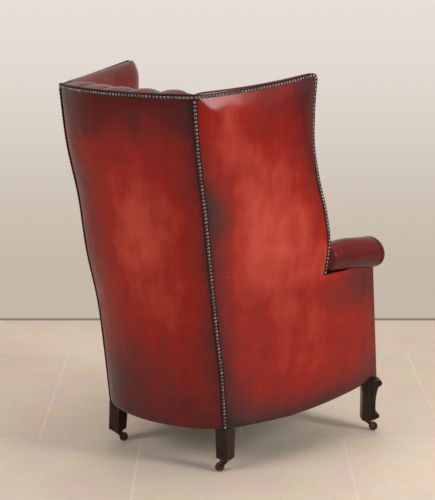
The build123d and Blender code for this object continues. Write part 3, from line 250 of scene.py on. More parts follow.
@functools.lru_cache(maxsize=None)
def plan_at(z):
    """Circles of the back arc and the left side arc at a height, kept until register() runs again."""
    hull = shell()
    share = (z - hull.bottom_z) / (hull.nail_z - hull.bottom_z)
    corner_x = mix(*hull.corner_half, share) + hull.post_sway * wave(POST_SWAY, share)
    corner_y = mix(*hull.corner_back, share) + hull.post_bow * wave(POST_BOW, share) + hull.line_y
    front_x = mix(*hull.arm_half, share) + hull.arm_belly * 4 * share * (1 - share)
    front_y = hull.line_y - hull.arc_reach
    back = arc_circle(-corner_x, corner_y, corner_x, corner_y, mix(*hull.back_bulge, share))
    side = arc_circle(corner_x, corner_y, front_x, front_y, mix(*hull.side_bulge, share))
    return back, side


def corner_at(z, depth):
    """Where the back and side arcs meet, both moved inwards by depth."""
    (bx, by, br), (sx, sy, sr) = plan_at(z)
    br, sr = br - depth, sr - depth
    dx, dy = sx - bx, sy - by
    gap = math.hypot(dx, dy)
    along = (br * br - sr * sr + gap * gap) / (2 * gap)
    aside = math.sqrt(br * br - along * along)
    ux, uy = dx / gap, dy / gap
    one = (bx + ux * along - uy * aside, by + uy * along + ux * aside)
    two = (bx + ux * along + uy * aside, by + uy * along - ux * aside)
    return max(one, two, key=lambda point: point[1])


def side_point(y, z, depth):
    """Point of the left side arc, moved inwards by depth."""
    _, (sx, sy, sr) = plan_at(z)
    return Vector((sx + math.sqrt((sr - depth) ** 2 - (y - sy) ** 2), y, z))


def back_span(z, depth):
    """Half angle of the back arc from its middle to the corner."""
    x, y = corner_at(z, depth)
    return math.atan2(x, y - plan_at(z)[0][1])


def back_turn(angle, z, depth):
    """Point of the back arc at an angle from its middle."""
    (_, by, br), _ = plan_at(z)
    return Vector(((br - depth) * math.sin(angle), by + (br - depth) * math.cos(angle), z))


def tip_z():
    return shell().nail_z + shell().tip_rise


def top_line_z(y):
    """Height of the nail line along the top of the side."""
    hull, wings = shell(), wing()
    reach = hull.corner_back[1] + wings.reach + wings.wave * WING_WAVE[-1]
    share = max((hull.line_y + hull.corner_back[1] - y) / reach, 0)
    return hull.nail_z + hull.tip_rise * (TOP_SWEEP * share * share + (1 - TOP_SWEEP) * share)


def wing_front_y(z):
    """Place of the nail line down the front of the wing."""
    wings = wing()
    share = (z - wings.foot_z) / (tip_z() - wings.foot_z)
    return shell().line_y - wings.reach - wings.wave * wave(WING_WAVE, share)


def round_tip(y, z, front, margin, more=0.0):
    """Draws the places near the wing's tip in, so that its corner is round.
    Those nearer to the corner's centre than hold stay where they are."""
    radius = wing().tip_round + margin + more
    hold = 0.6 * radius
    over = z - (top_line_z(front) + margin - radius)
    out = (front + radius) - y
    reach = math.hypot(over, out)
    if over > 0 and out > 0 and reach > hold:
        limit = radius * reach / max(over, out)
        drawn = hold + (radius - hold) * (reach - hold) / (limit - hold)
        z -= over * (1 - drawn / reach)
        y += out * (1 - drawn / reach)
    return y, z


def front_plane_y(z):
    """Place of the sloping plane behind the arm fronts."""
    arms = arm()
    return shell().line_y - arms.low_reach + arms.lean * (z - arms.low_z)


def skirt_z(y):
    """Height of the leather's lower edge along the side."""
    arms, low = arm(), shell().bottom_z
    flat_y, front_y = shell().line_y - arms.skirt_flat, shell().line_y - arms.low_reach
    share = max((flat_y - y) / (flat_y - front_y), 0)
    bow = 4 * share * (1 - share) * (arms.skirt_mid_z - (low + arms.skirt_front_z) / 2)
    return mix(low, arms.skirt_front_z, share) + bow


def roll_at(share):
    """Half width, height and radius of the arm's roll, from its rear end to its front."""
    arms = arm()
    return mix(*arms.roll_half, share), mix(*arms.roll_z, share), mix(*arms.roll_radius, share)


def blob(x, y, centre_x, centre_y, reach_x, reach_y):
    """Soft round patch, 1 at its centre."""
    return math.exp(-((x - centre_x) / reach_x) ** 2 - ((y - centre_y) / reach_y) ** 2)


def near(distance, reach):
    """1 at an edge, fading out with the distance from it."""
    return math.exp(-distance / reach)


def patches(table, x, y):
    """Sum of soft patches, each given as its strength, its centre and its reach both ways."""
    return sum(strength * blob(x, y, *patch) for strength, *patch in table)


def ripple(point, size, height):
    """Gentle unevenness of hand-pulled leather, size metres across."""
    return height * noise.noise(point / size)


def fullness(edge, height=0.0034, run=0.02):
    """How far pulled leather stands proud, a distance in from its fixed edge."""
    return height * (1 - near(max(edge, 0), run))


def hand_pull(point, edge, size, height, fine_height):
    """Broad and fine unevenness of pulled leather, none at its fixed edge."""
    fine_size, fade = 0.05, 0.04
    return (ripple(point, size, height) + ripple(point, fine_size, fine_height)) * ease(edge / fade)


def tuck_in(height):
    """How far leather draws in under the chair, a height above its lower edge."""
    depth, run = 0.004, 0.004
    return depth * near(max(height, 0), run)


# Mesh tools

# Angles in degrees: faces that are one flat face, edges that are rounded, and edges shaded smooth.
FLAT_ANGLE, EDGE_ANGLE, SOFT_ANGLE = 1, 32, 40


def clear_selection():
    if bpy.context.object and bpy.context.object.mode != "OBJECT":
        bpy.ops.object.mode_set(mode="OBJECT")
    bpy.ops.object.select_all(action="DESELECT")


def pick(*pieces):
    clear_selection()
    for piece in pieces:
        piece.select_set(True)
    bpy.context.view_layer.objects.active = pieces[0]
    return pieces[0]


def mirrored(point, side):
    """A point given for the left side, on the side asked for."""
    return Vector((-point.x, point.y, point.z)) if side == "right" else point


def weld(piece, distance=0.00002, cap=False):
    """Merges doubles, closes holes where asked, and turns the faces outwards."""
    pick(piece)
    bpy.ops.object.mode_set(mode="EDIT")
    bpy.ops.mesh.select_all(action="SELECT")
    bpy.ops.mesh.remove_doubles(threshold=distance)
    if cap:
        bpy.ops.mesh.select_all(action="DESELECT")
        bpy.ops.mesh.select_mode(type="EDGE")
        bpy.ops.mesh.select_non_manifold(extend=False, use_multi_face=False, use_non_contiguous=False,
                                         use_verts=False)
        bpy.ops.mesh.fill_holes(sides=0)
    bpy.ops.mesh.select_all(action="SELECT")
    bpy.ops.mesh.normals_make_consistent(inside=False)
    bpy.ops.object.mode_set(mode="OBJECT")
    return piece


def smooth(piece, angle=None):
    pick(piece)
    if angle is None:
        bpy.ops.object.shade_smooth()
    else:
        bpy.ops.object.shade_smooth_by_angle(angle=math.radians(angle))
    return piece


def set_tone(piece, values):
    """Keeps the tone of each point, 0 darkest to 1 lightest: mostly dye burnished or rubbed thin, and in
    places painted shade or painted highlight.
    """
    layer = piece.data.attributes.new("tone", "FLOAT", "POINT")
    layer.data.foreach_set("value", values)


def face_towards(piece, way):
    """Turns all faces over where, taken together, they look away from the given direction."""
    if sum(polygon.normal.dot(way) * polygon.area for polygon in piece.data.polygons) < 0:
        piece.data.flip_normals()


def shaped_grid(name, columns, rows, place, tone):
    """A grid whose points are laid on the chair by place(u, w); tone(u, w) is kept as its tone, which is dye
    and, in places, painted light.
    """
    clear_selection()
    bpy.ops.mesh.primitive_grid_add(x_subdivisions=columns, y_subdivisions=rows, size=1)
    piece = bpy.context.object
    piece.name = piece.data.name = name
    shares = [(v.co.x + 0.5, v.co.y + 0.5) for v in piece.data.vertices]
    set_tone(piece, [min(max(tone(u, w), 0), 1) for u, w in shares])
    for vertex, (u, w) in zip(piece.data.vertices, shares):
        vertex.co = place(u, w)
    return piece


def joined(name, pieces):
    piece = pick(*pieces)
    bpy.ops.object.join()
    piece.name = piece.data.name = name
    return piece


def modifier(piece, kind, **settings):
    """Adds a modifier with its settings and applies it."""
    pick(piece)
    item = piece.modifiers.new(kind.title(), kind)
    for key, value in settings.items():
        setattr(item, key, value)
    bpy.ops.object.modifier_apply(modifier=item.name)


def finish(piece, material):
    piece.data.materials.clear()
    piece.data.materials.append(bpy.data.materials[material])


def wear(piece, material, body, slot, *nodes):
    """Gives a finished piece its material, its body and the frame nodes it stands for."""
    finish(piece, material)
    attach(piece, body)
    if nodes:
        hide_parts(*nodes)


def merged_copy(name):
    """A copy of a frame node with its loose triangles merged."""
    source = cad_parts[name]
    clear_selection()
    piece = source.copy()
    piece.data = source.data.copy()
    for key in list(piece.keys()):
        del piece[key]
    bpy.context.scene.collection.objects.link(piece)
    piece.parent = None
    piece.name = piece.data.name = name + "_finished"
    return weld(piece)


def smoothed(name, angle, tone=None):
    """A merged copy of a frame node, smooth up to an angle, of one rubbed tone where given."""
    piece = merged_copy(name)
    if tone is not None:
        set_tone(piece, [tone] * len(piece.data.vertices))
    return smooth(piece, angle)


def softened(name, width):
    """A merged copy of a frame node with its edges rounded over."""
    piece = merged_copy(name)
    pick(piece)
    bpy.ops.object.mode_set(mode="EDIT")
    bpy.ops.mesh.select_all(action="SELECT")
    bpy.ops.mesh.dissolve_limited(angle_limit=math.radians(FLAT_ANGLE))
    bpy.ops.object.mode_set(mode="OBJECT")
    modifier(piece, "BEVEL", width=width, segments=3, limit_method="ANGLE",
             angle_limit=math.radians(EDGE_ANGLE), harden_normals=False)
    modifier(piece, "TRIANGULATE")
    return smooth(piece, SOFT_ANGLE)


def slab_piece(name, columns, rows, place, rounds, tone):
    """A closed pad: two faces place(u, w, h), h from 1 to -1, that meet in a rounded edge.
    rounds are the shares of the width and height over which each edge rounds: left, right, low, high."""
    left, right, low, high = rounds
    rim = 0.25

    def spread(share, first, last):
        """Denser points along the rounded edges, each with a quarter of the points."""
        if share < rim:
            return first * (1 - math.cos(share / rim * math.pi / 2))
        if share > 1 - rim:
            return 1 - last * (1 - math.cos((1 - share) / rim * math.pi / 2))
        return mix(first, 1 - last, (share - rim) / (1 - 2 * rim))

    def edge(share, first, last):
        """0 on the flat, out to -1 and 1 at the ends."""
        if share < first:
            return -(1 - share / first)
        if share > 1 - last:
            return 1 - (1 - share) / last
        return 0.0

    def lay(sign):
        def lie(u, w):
            u, w = spread(u, left, right), spread(w, low, high)
            aside, up = edge(u, left, right), edge(w, low, high)
            return place(u, w, sign * math.sqrt(max((1 - aside * aside) * (1 - up * up), 0)))
        return lie

    def mark(u, w):
        return tone(spread(u, left, right), spread(w, low, high))

    halves = [shaped_grid(name + part, columns, rows, lay(sign), mark)
              for part, sign in (("_front", 1), ("_rear", -1))]
    return smooth(weld(joined(name, halves)))


# Material tools

def node(tree, kind, **values):
    """Adds a shader node in the next place of a grid. Keys that are its inputs are set, others are its
    properties."""
    row, column = divmod(len(tree.nodes), 6)
    item = tree.nodes.new(kind)
    item.location = (260 * column, -320 * row)
    for key, value in values.items():
        name = key.replace("_", " ")
        if name in item.inputs:
            item.inputs[name].default_value = value
        else:
            setattr(item, key, value)
    return item


def wire(tree, *pairs):
    for source, target in pairs:
        tree.links.new(source, target)


def new_group(name, inputs, outputs):
    """A node group, with the sockets that it is given and those of its result."""
    tree = bpy.data.node_groups.new(name, "ShaderNodeTree")
    for sockets, direction in ((inputs, "INPUT"), (outputs, "OUTPUT")):
        for label, kind in sockets.items():
            tree.interface.new_socket(name=label, in_out=direction, socket_type="NodeSocket" + kind)
    start = node(tree, "NodeGroupInput")
    end = node(tree, "NodeGroupOutput")
    return tree, start.outputs, end.inputs


def use_group(tree, name, **values):
    item = node(tree, "ShaderNodeGroup", node_tree=bpy.data.node_groups[name])
    settle(item, **values)
    return item


# Places of the mix node's colour sockets.
MIX_FACTOR, MIX_FIRST, MIX_SECOND, MIX_RESULT = 0, 6, 7, 2


def feed(tree, item, pairs):
    """Wires or sets inputs, each given as its index and a socket or a value."""
    for index, value in pairs:
        if hasattr(value, "links"):
            tree.links.new(value, item.inputs[index])
        else:
            item.inputs[index].default_value = value


def settle(item, **values):
    """Sets inputs by their names, with _ for a blank."""
    for key, value in values.items():
        item.inputs[key.replace("_", " ")].default_value = value


def blend_colour(tree, factor, first, second, mode="MIX"):
    item = node(tree, "ShaderNodeMix", data_type="RGBA", blend_type=mode)
    feed(tree, item, ((MIX_FACTOR, factor), (MIX_FIRST, first), (MIX_SECOND, second)))
    return item.outputs[MIX_RESULT]


def remap(tree, value, low, high, to_low=0.0, to_high=1.0):
    """Carries a value smoothly from one range to another."""
    item = node(tree, "ShaderNodeMapRange", interpolation_type="SMOOTHSTEP")
    feed(tree, item, enumerate((value, low, high, to_low, to_high)))
    return item.outputs[0]


def maths(tree, operation, first, second=0.0):
    item = node(tree, "ShaderNodeMath", operation=operation)
    feed(tree, item, enumerate((first, second)))
    return item.outputs[0]


def texture(tree, kind, vector, **values):
    """Adds a texture or mapping node that reads a vector."""
    item = node(tree, "ShaderNode" + kind, **values)
    wire(tree, (vector, item.inputs["Vector"]))
    return item


def make_hide_relief():
    """Grain and creases of waxed leather, as a height."""
    tree, given, result = new_group(
        "Hide Relief", {"Vector": "Vector", "Crease": "Float"}, {"Height": "Float"})
    vector = given["Vector"]
    pebble = texture(tree, "TexVoronoi", vector, feature="SMOOTH_F1", Scale=620.0)
    fine = texture(tree, "TexNoise", vector, Scale=1400.0, Detail=2.0)
    crease = texture(tree, "TexNoise", vector, Detail=6.0, Roughness=0.62, Distortion=1.4)
    wire(tree, (given["Crease"], crease.inputs["Scale"]))
    pebble_height, fine_height, crease_height, crease_width = 0.7, 0.3, -0.35, 0.03
    distance = maths(tree, "ABSOLUTE", maths(tree, "SUBTRACT", crease.outputs["Fac"], 0.5))
    lines = remap(tree, distance, 0.0, crease_width, 1.0, 0.0)
    coarse = maths(tree, "MULTIPLY", pebble.outputs["Distance"], pebble_height)
    slight = maths(tree, "MULTIPLY", fine.outputs["Fac"], fine_height)
    grain = maths(tree, "ADD", coarse, slight)
    deep = maths(tree, "MULTIPLY", lines, crease_height)
    wire(tree, (maths(tree, "ADD", grain, deep), result["Height"]))


def make_dye_and_painted_light():
    """Hand-dyed colour: four dyes by the tone, which in places also carries painted shade and highlight,
    mottled, streaked and scuffed.
    """
    hide = bpy.context.scene.chair_hide
    tree, given, result = new_group(
        "Dyed Tone", {"Vector": "Vector", "Tone": "Float", "Mottle": "Float", "Scuffs": "Float"},
        {"Color": "Color", "Rub": "Float"})
    vector = given["Vector"]
    cloud = texture(tree, "TexNoise", vector, Scale=4.2, Detail=6.0, Roughness=0.6)
    patch = texture(tree, "TexNoise", vector, Scale=17.0, Detail=5.0, Roughness=0.7)
    upright = texture(tree, "Mapping", vector, Scale=(3.2, 3.2, 0.55))
    streak = texture(tree, "TexNoise", upright.outputs[0], Scale=9.0, Detail=4.0, Roughness=0.65)
    spot = texture(tree, "TexNoise", vector, Scale=58.0, Detail=3.0, Roughness=0.5)

    def swing(source, amount):
        centred = maths(tree, "SUBTRACT", source.outputs["Fac"], 0.5)
        return maths(tree, "MULTIPLY", centred, amount)

    parts = maths(tree, "ADD", swing(cloud, 1.1), swing(patch, 0.65))
    parts = maths(tree, "ADD", parts, swing(streak, 0.6))
    parts = maths(tree, "MULTIPLY", parts, given["Mottle"])
    level = maths(tree, "ADD", parts, given["Tone"])
    ramp = node(tree, "ShaderNodeValToRGB")
    stops = ((0.0, hide.burnt), (0.33, hide.oxblood), (0.66, hide.cherry), (1.0, hide.russet))
    points = ramp.color_ramp.elements
    while len(points) < len(stops):
        points.new(0.5)
    for point, (place, dye) in zip(points, stops):
        point.position, point.color = place, (*dye, 1)
    scuff_edge, scuff_core = 0.765, 0.79
    scuffs = remap(tree, spot.outputs["Fac"], scuff_edge, scuff_core)
    scuffs = maths(tree, "MULTIPLY", scuffs, given["Scuffs"])
    bare = blend_colour(tree, scuffs, ramp.outputs["Color"], (*hide.scuff, 1))
    wire(tree, (level, ramp.inputs["Fac"]), (bare, result["Color"]), (level, result["Rub"]))


def make_worn_metal():
    """Metal with tarnish in soft patches."""
    tree, given, result = new_group(
        "Worn Metal", {"Vector": "Vector", "Bright": "Color", "Tarnish": "Color", "Amount": "Float",
                       "Scale": "Float"}, {"Color": "Color", "Roughness": "Float"})
    cloud = texture(tree, "TexNoise", given["Vector"], Detail=4.0, Roughness=0.6)
    wire(tree, (given["Scale"], cloud.inputs["Scale"]))
    mask = remap(tree, cloud.outputs["Fac"], 0.35, 0.7)
    mask = maths(tree, "MULTIPLY", mask, given["Amount"])
    mixed = blend_colour(tree, mask, given["Bright"], given["Tarnish"])
    bright_roughness, tarnish_roughness = 0.26, 0.62
    rough = remap(tree, mask, 0.0, 1.0, bright_roughness, tarnish_roughness)
    wire(tree, (mixed, result["Color"]), (rough, result["Roughness"]))


def make_wood_grain():
    """Long grain with pores."""
    tree, given, result = new_group(
        "Wood Grain", {"Vector": "Vector", "Dark": "Color", "Light": "Color", "Scale": "Float",
                       "Contrast": "Float"}, {"Color": "Color", "Height": "Float"})
    sized = node(tree, "ShaderNodeVectorMath", operation="SCALE")
    wire(tree, (given["Vector"], sized.inputs[0]), (given["Scale"], sized.inputs["Scale"]))
    upright = texture(tree, "Mapping", sized.outputs[0], Scale=(60.0, 60.0, 5.0))
    grain = texture(tree, "TexNoise", upright.outputs[0], Scale=2.0, Detail=8.0, Roughness=0.65,
                    Distortion=0.6)
    mask = remap(tree, grain.outputs["Fac"], 0.35, 0.68)
    mask = maths(tree, "MULTIPLY", mask, given["Contrast"])
    mixed = blend_colour(tree, mask, given["Dark"], given["Light"])
    wire(tree, (mixed, result["Color"]), (grain.outputs["Fac"], result["Height"]))


def blank_material(name):
    """A material with nothing but its output."""
    material = bpy.data.materials.new(name)
    material.use_nodes = True
    tree = material.node_tree
    tree.nodes.clear()
    return material, tree, node(tree, "ShaderNodeOutputMaterial")


def new_material(name):
    """A material with its output and its main shader, and the piece's own coordinates."""
    material, tree, out = blank_material(name)
    shader = node(tree, "ShaderNodeBsdfPrincipled")
    wire(tree, (shader.outputs[0], out.inputs[0]))
    return material, tree, shader, node(tree, "ShaderNodeTexCoord").outputs["Object"]


def bump(tree, height, strength, distance):
    item = node(tree, "ShaderNodeBump", Strength=strength, Distance=distance)
    wire(tree, (height, item.inputs["Height"]))
    return item.outputs["Normal"]


def hide_material(name, mottle, scuffs, roughness, coat, crease=26.0):
    """Waxed, hand-dyed leather that follows its piece's tone, dye with painted shade and highlight in places,
    glossier where it is dark.
    """
    _, tree, shader, place = new_material(name)
    tone = node(tree, "ShaderNodeAttribute", attribute_name="tone")
    dyed = use_group(tree, "Dyed Tone", Mottle=mottle, Scuffs=scuffs)
    relief = use_group(tree, "Hide Relief", Crease=crease)
    sheen = texture(tree, "TexNoise", place, Scale=11.0, Detail=4.0)
    smoother, rougher, dark_wax, rubbed_wax = -0.07, 0.09, 2.2, 0.6
    rough = remap(tree, sheen.outputs["Fac"], 0.3, 0.7, roughness + smoother, roughness + rougher)
    wax = remap(tree, dyed.outputs["Rub"], 0.15, 0.85, coat * dark_wax, coat * rubbed_wax)
    grain = bump(tree, relief.outputs["Height"], 0.22, 0.0006)
    wire(tree, (place, dyed.inputs["Vector"]), (tone.outputs["Fac"], dyed.inputs["Tone"]),
         (place, relief.inputs["Vector"]), (dyed.outputs["Color"], shader.inputs["Base Color"]),
         (rough, shader.inputs["Roughness"]), (wax, shader.inputs["Coat Weight"]),
         (grain, shader.inputs["Normal"]))
    settle(shader, Coat_Roughness=0.15, Coat_IOR=1.6, Specular_IOR_Level=0.04)


def metal_material(name, bright, tarnish, amount, scale):
    _, tree, shader, place = new_material(name)
    worn = use_group(tree, "Worn Metal", Bright=(*bright, 1), Tarnish=(*tarnish, 1),
                     Amount=amount, Scale=scale)
    wire(tree, (place, worn.inputs["Vector"]), (worn.outputs["Color"], shader.inputs["Base Color"]),
         (worn.outputs["Roughness"], shader.inputs["Roughness"]))
    settle(shader, Metallic=1.0)


def wood_material(name, dark, light, scale, contrast, roughness, coat):
    _, tree, shader, place = new_material(name)
    grain = use_group(tree, "Wood Grain", Dark=(*dark, 1), Light=(*light, 1),
                      Scale=scale, Contrast=contrast)
    wire(tree, (place, grain.inputs["Vector"]), (grain.outputs["Color"], shader.inputs["Base Color"]),
         (bump(tree, grain.outputs["Height"], 0.15, 0.0004), shader.inputs["Normal"]))
    settle(shader, Roughness=roughness, Coat_Weight=coat, Specular_IOR_Level=0.15)


def cloth_material(name, dark, light, scale):
    """Plain weave from two crossed waves."""
    _, tree, shader, place = new_material(name)
    warp, weft = [texture(tree, "TexWave", place, bands_direction=way, Scale=scale, Distortion=0.6)
                  for way in "XY"]
    weave = maths(tree, "MULTIPLY", warp.outputs["Fac"], weft.outputs["Fac"])
    mixed = blend_colour(tree, weave, (*dark, 1), (*light, 1))
    wire(tree, (mixed, shader.inputs["Base Color"]),
         (bump(tree, weave, 0.4, 0.0006), shader.inputs["Normal"]))
    settle(shader, Roughness=0.9)


def seen_mix(tree, light, sight):
    """Sight for the camera, directly or in a gloss or a clear piece, and light for all other rays."""
    paths = node(tree, "ShaderNodeLightPath")
    rays = maths(tree, "MAXIMUM", paths.outputs["Is Camera Ray"], paths.outputs["Is Glossy Ray"])
    rays = maths(tree, "MAXIMUM", rays, paths.outputs["Is Transmission Ray"])
    item = node(tree, "ShaderNodeMixShader")
    wire(tree, (rays, item.inputs[0]), (light, item.inputs[1]), (sight, item.inputs[2]))
    return item.outputs[0]


# Operators

class MakeFinishes(bpy.types.Operator):
    """Makes the leather, brass, wood and cloth finishes"""
    bl_idname = "wing_chair.finishes"
    bl_label = "Finishes"

    def execute(self, context):
        look = context.scene.chair_finish
        make_hide_relief()
        make_dye_and_painted_light()
        make_worn_metal()
        make_wood_grain()
        hide_material("Outside Hide", mottle=0.42, scuffs=1.0, roughness=0.3, coat=0.2)
        hide_material("Inside Hide", mottle=0.34, scuffs=0.3, roughness=0.3, coat=0.17, crease=34.0)
        hide_material("Banding Hide", mottle=0.06, scuffs=0.0, roughness=0.42, coat=0.03, crease=60.0)
        metal_material("Nail Brass", look.nail, look.nail_dark, amount=0.7, scale=45.0)
        metal_material("Castor Brass", look.castor, look.castor_dark, amount=0.8, scale=70.0)
        metal_material("Spring Steel", look.spring, look.spring_dark, amount=0.6, scale=60.0)
        wood_material("Leg Mahogany", look.leg, look.leg_worn, scale=1.0, contrast=0.3, roughness=0.32,
                      coat=0.04)
        wood_material("Beech", look.beech, look.beech_dark, scale=0.6, contrast=0.9, roughness=0.6, coat=0.0)
        cloth_material("Jute Webbing", look.jute_dark, look.jute, scale=160.0)
        cloth_material("Black Hessian", look.hessian_dark, look.hessian, scale=260.0)
        return {"FINISHED"}


# Patches of the back's tone in shares of its width and height, and of the side's in metres from the seam
# and over the floor: strength, centre and reach both ways.
BACK_PATCHES = (
    (0.36, 0.62, 0.56, 0.34, 0.34), (-0.1, 0, 0.8, 0.3, 0.3), (-0.3, 0.3, 0.05, 0.36, 0.17),
)
SIDE_PATCHES = (
    # In the side's patches, the first, lighter mid-side, is partly dye and partly a painted sheen; the third,
    # lighter beside the seam near the top, is a painted highlight.
    (0.24, 0.2, 0.67, 0.15, 0.15), (0.06, 0.16, 0.9, 0.1, 0.1), (0.14, 0.08, 0.97, 0.07, 0.1),
    (-0.28, 0.02, 0.76, 0.06, 0.08), (-0.42, 0.38, 1.07, 0.18, 0.15), (-0.16, 0.38, 0.86, 0.06, 0.14),
)


class MakeOutsideBack(bpy.types.Operator):
    """Makes the leather over the outside back, between the two seams"""
    bl_idname = "wing_chair.outside_back"
    bl_label = "Outside back"

    def execute(self, context):
        hull = shell()
        top = hull.nail_z + wing().margin - UNDER_BAND

        def place(u, v):
            z = mix(hull.bottom_z, top, v)
            span = back_span(z, 0)
            turn = 2 * u - 1
            reach = plan_at(z)[0][2] * span * (1 - abs(turn))
            here = back_turn(-turn * span, z, 0)
            pull = hand_pull(here, reach, 0.16, 0.0018, 0.0007)
            proud = fullness(min(reach, top - z))
            return back_turn(-turn * span, z, tuck_in(z - hull.bottom_z) - proud - pull)

        def tone(u, v):
            edges = 0.24 * near(1 - u, 0.06) + 0.1 * near(u, 0.12) + 0.12 * near(v, 0.05)
            return 0.46 + patches(BACK_PATCHES, u, v) - edges - 0.3 * ease((v - 0.78) / 0.22)

        piece = shaped_grid("outside_back_leather", 96, 150, place, tone)
        modifier(piece, "SOLIDIFY", thickness=LEATHER, offset=-1)
        smooth(piece, 50)
        wear(piece, "Outside Hide", "chair", "hide_oxblood", "outside_back_panel")
        return {"FINISHED"}


def side_tone(run, z, edge):
    """Tone of the side leather, by the run from the seam, the height and the front edge's distance: mostly
    dye, with painted shade under the arm and painted highlights near the top of the seam.
    """
    # Darker dye along the seam, lifted near the top as a painted highlight.
    seam = 0.48 * near(run, 0.044) * (1 - 0.6 * blob(0, z, 0, 1.04, 1, 0.1))
    # Darker band under the arm's roll: painted shade, partly dye.
    under_arm_shade = 0.18 * blob(0, z, 0, 0.47, 1, 0.06) * ease((run - 0.32) / 0.08)
    edges = 0.6 * near(z - shell().bottom_z, 0.05) + 0.28 * near(edge, 0.045)
    return 0.7 + patches(SIDE_PATCHES, run, z) - seam - under_arm_shade - edges


class MakeOutsideSides(bpy.types.Operator):
    """Makes the leather over the outside of each wing, arm and seat side"""
    bl_idname = "wing_chair.outside_sides"
    bl_label = "Outside sides"

    def execute(self, context):
        for side in SIDES:
            self.cover(side, shell(), arm(), wing().margin - UNDER_BAND)
        return {"FINISHED"}

    def cover(self, side, hull, arms, margin):
        """One leather from two grids: a base up to the arm's roll and a head for the wing above it.
        The base's columns behind rear_share lie under the wing, the others under the arm."""
        rear_share, tone_gap, front_overlap = 0.6, 0.02, 0.03
        crest, crest_run, crest_z, crest_height = 0.0075, 0.055, 0.75, 0.2
        _, roll_z, radius = roll_at(0.4)
        step_z = roll_z - radius + 0.004

        def wing_y(z):
            return wing_front_y(z) - margin

        def arm_front_y(z):
            return front_plane_y(z) + arms.board

        step_y = wing_y(step_z)

        def drape(y, z, rear, front, top, low):
            edge = min(rear - y, y - front, top - z)
            here = side_point(y, z, 0)
            pull = hand_pull(here, edge, 0.17, 0.002, 0.0008)
            roll_over = fullness(edge, crest, crest_run) * ease((z - crest_z) / crest_height)
            depth = tuck_in(z - low) - fullness(edge) - roll_over - pull
            return mirrored(side_point(y, z, depth), side)

        def base_y(u, rear, front):
            if u < rear_share:
                return mix(rear, step_y, u / rear_share)
            return mix(step_y, front, (u - rear_share) / (1 - rear_share))

        def base(u, v):
            rear = corner_at(mix(hull.bottom_z, step_z, v), 0)[1]
            y_low, y_high = [base_y(u, rear, arm_front_y(z)) for z in (arms.skirt_front_z, step_z)]
            y = mix(y_low, y_high, v)
            low = skirt_z(y)
            z = mix(low, step_z, v)
            if u == 0:
                y = corner_at(z, 0)[1]
            return drape(y, z, rear, arm_front_y(z) - front_overlap, z + 1, low)

        def head(u, v):
            y_top = mix(corner_at(hull.nail_z, 0)[1], wing_y(tip_z()), u)
            z = mix(step_z, top_line_z(y_top) + margin, v)
            rear, front = corner_at(z, 0)[1], wing_y(min(z, tip_z()))
            y, z = round_tip(mix(rear, front, u), z, front, margin)
            return drape(y, z, rear, front, top_line_z(y) + margin, 0)

        def base_tone(u, v):
            z = mix(hull.bottom_z, step_z, v)
            rear, front = corner_at(z, 0)[1], arm_front_y(z)
            y = base_y(u, rear, front)
            return side_tone(rear - y, z, (y - front) / 2)

        def head_tone(u, v):
            z = mix(step_z, tip_z(), v)
            rear, front = corner_at(min(z, hull.nail_z), 0)[1], wing_y(z)
            run = u * (rear - front)
            above_arm = ease((z - step_z - tone_gap) / 0.1)
            return side_tone(run, z, mix(0.3, rear - front - run, above_arm))

        grids = [shaped_grid("side_base", 100, 70, base, base_tone),
                 shaped_grid("side_head", 60, 90, head, head_tone)]
        piece = joined(f"outside_side_leather_{side}", grids)
        weld(piece, 0.0004)
        face_towards(piece, mirrored(Vector((1, 0, 0)), side))
        modifier(piece, "SOLIDIFY", thickness=LEATHER, offset=-1)
        smooth(piece, 50)
        wear(piece, "Outside Hide", "chair", "hide_oxblood", f"outside_side_panel_{side}")


# Sections of the strips under the nails, in metres across and proud of the leather. The first rolls over
# the top and front edges.
BAND_SECTION = (
    (-0.0066, -0.0004), (-0.0058, 0.0008), (-0.0035, 0.0013), (0.0, 0.00145), (0.0032, 0.0014),
    (0.0058, 0.0018), (0.0082, 0.0014), (0.0095, -0.0005), (0.0095, -0.0028), (0.0082, -0.0052),
    (0.006, -0.0066),
)
SEAM_SECTION = (
    (-0.0068, -0.0004), (-0.006, 0.0009), (-0.0035, 0.0013), (0.0, 0.00145), (0.0035, 0.0013),
    (0.006, 0.0009), (0.0068, -0.0004),
)
BAND_TONE = 0.02


def band_strip(name, section, rows, line):
    """A strip along line(share), which gives a point, its outward normal and the way across."""
    last = len(section) - 1

    def place(u, v):
        point, normal, aside = line(v)
        across, proud = section[min(int(round(u * last)), last)]
        return point + aside * across + normal * proud

    return shaped_grid(name, last, rows, place, lambda u, v: BAND_TONE)


def side_frame(y, z):
    """Point of the outside leather, and its outward normal."""
    step = 0.001
    here = side_point(y, z, 0)
    normal = (side_point(y + step, z, 0) - here).cross(side_point(y, z + step, 0) - here).normalized()
    return here, normal if normal.x > 0 else -normal


def seam_line(v):
    """The rear seam from its foot to the back's nails, for a strip that halves the corner's angle."""
    step, top_gap, proud = 0.001, 0.004, 0.0006
    z = mix(shell().bottom_z, shell().nail_z - top_gap, v)
    x, y = corner_at(z, 0)
    here = Vector((x, y, z))
    _, side = side_frame(y, z)
    rear = Vector((x, y - plan_at(z)[0][1], 0)).normalized()
    normal = (side + rear).normalized()
    up = Vector((*corner_at(z + step, 0), z + step)) - here
    return here + normal * proud, normal, normal.cross(up).normalized()


def back_top_line(v):
    """The back's upper nail line from seam to seam."""
    z = shell().nail_z
    here = back_turn((2 * v - 1) * back_span(z, 0), z, 0)
    return here, (here - Vector((0, plan_at(z)[0][1], z))).normalized(), Vector((0, 0, 1))


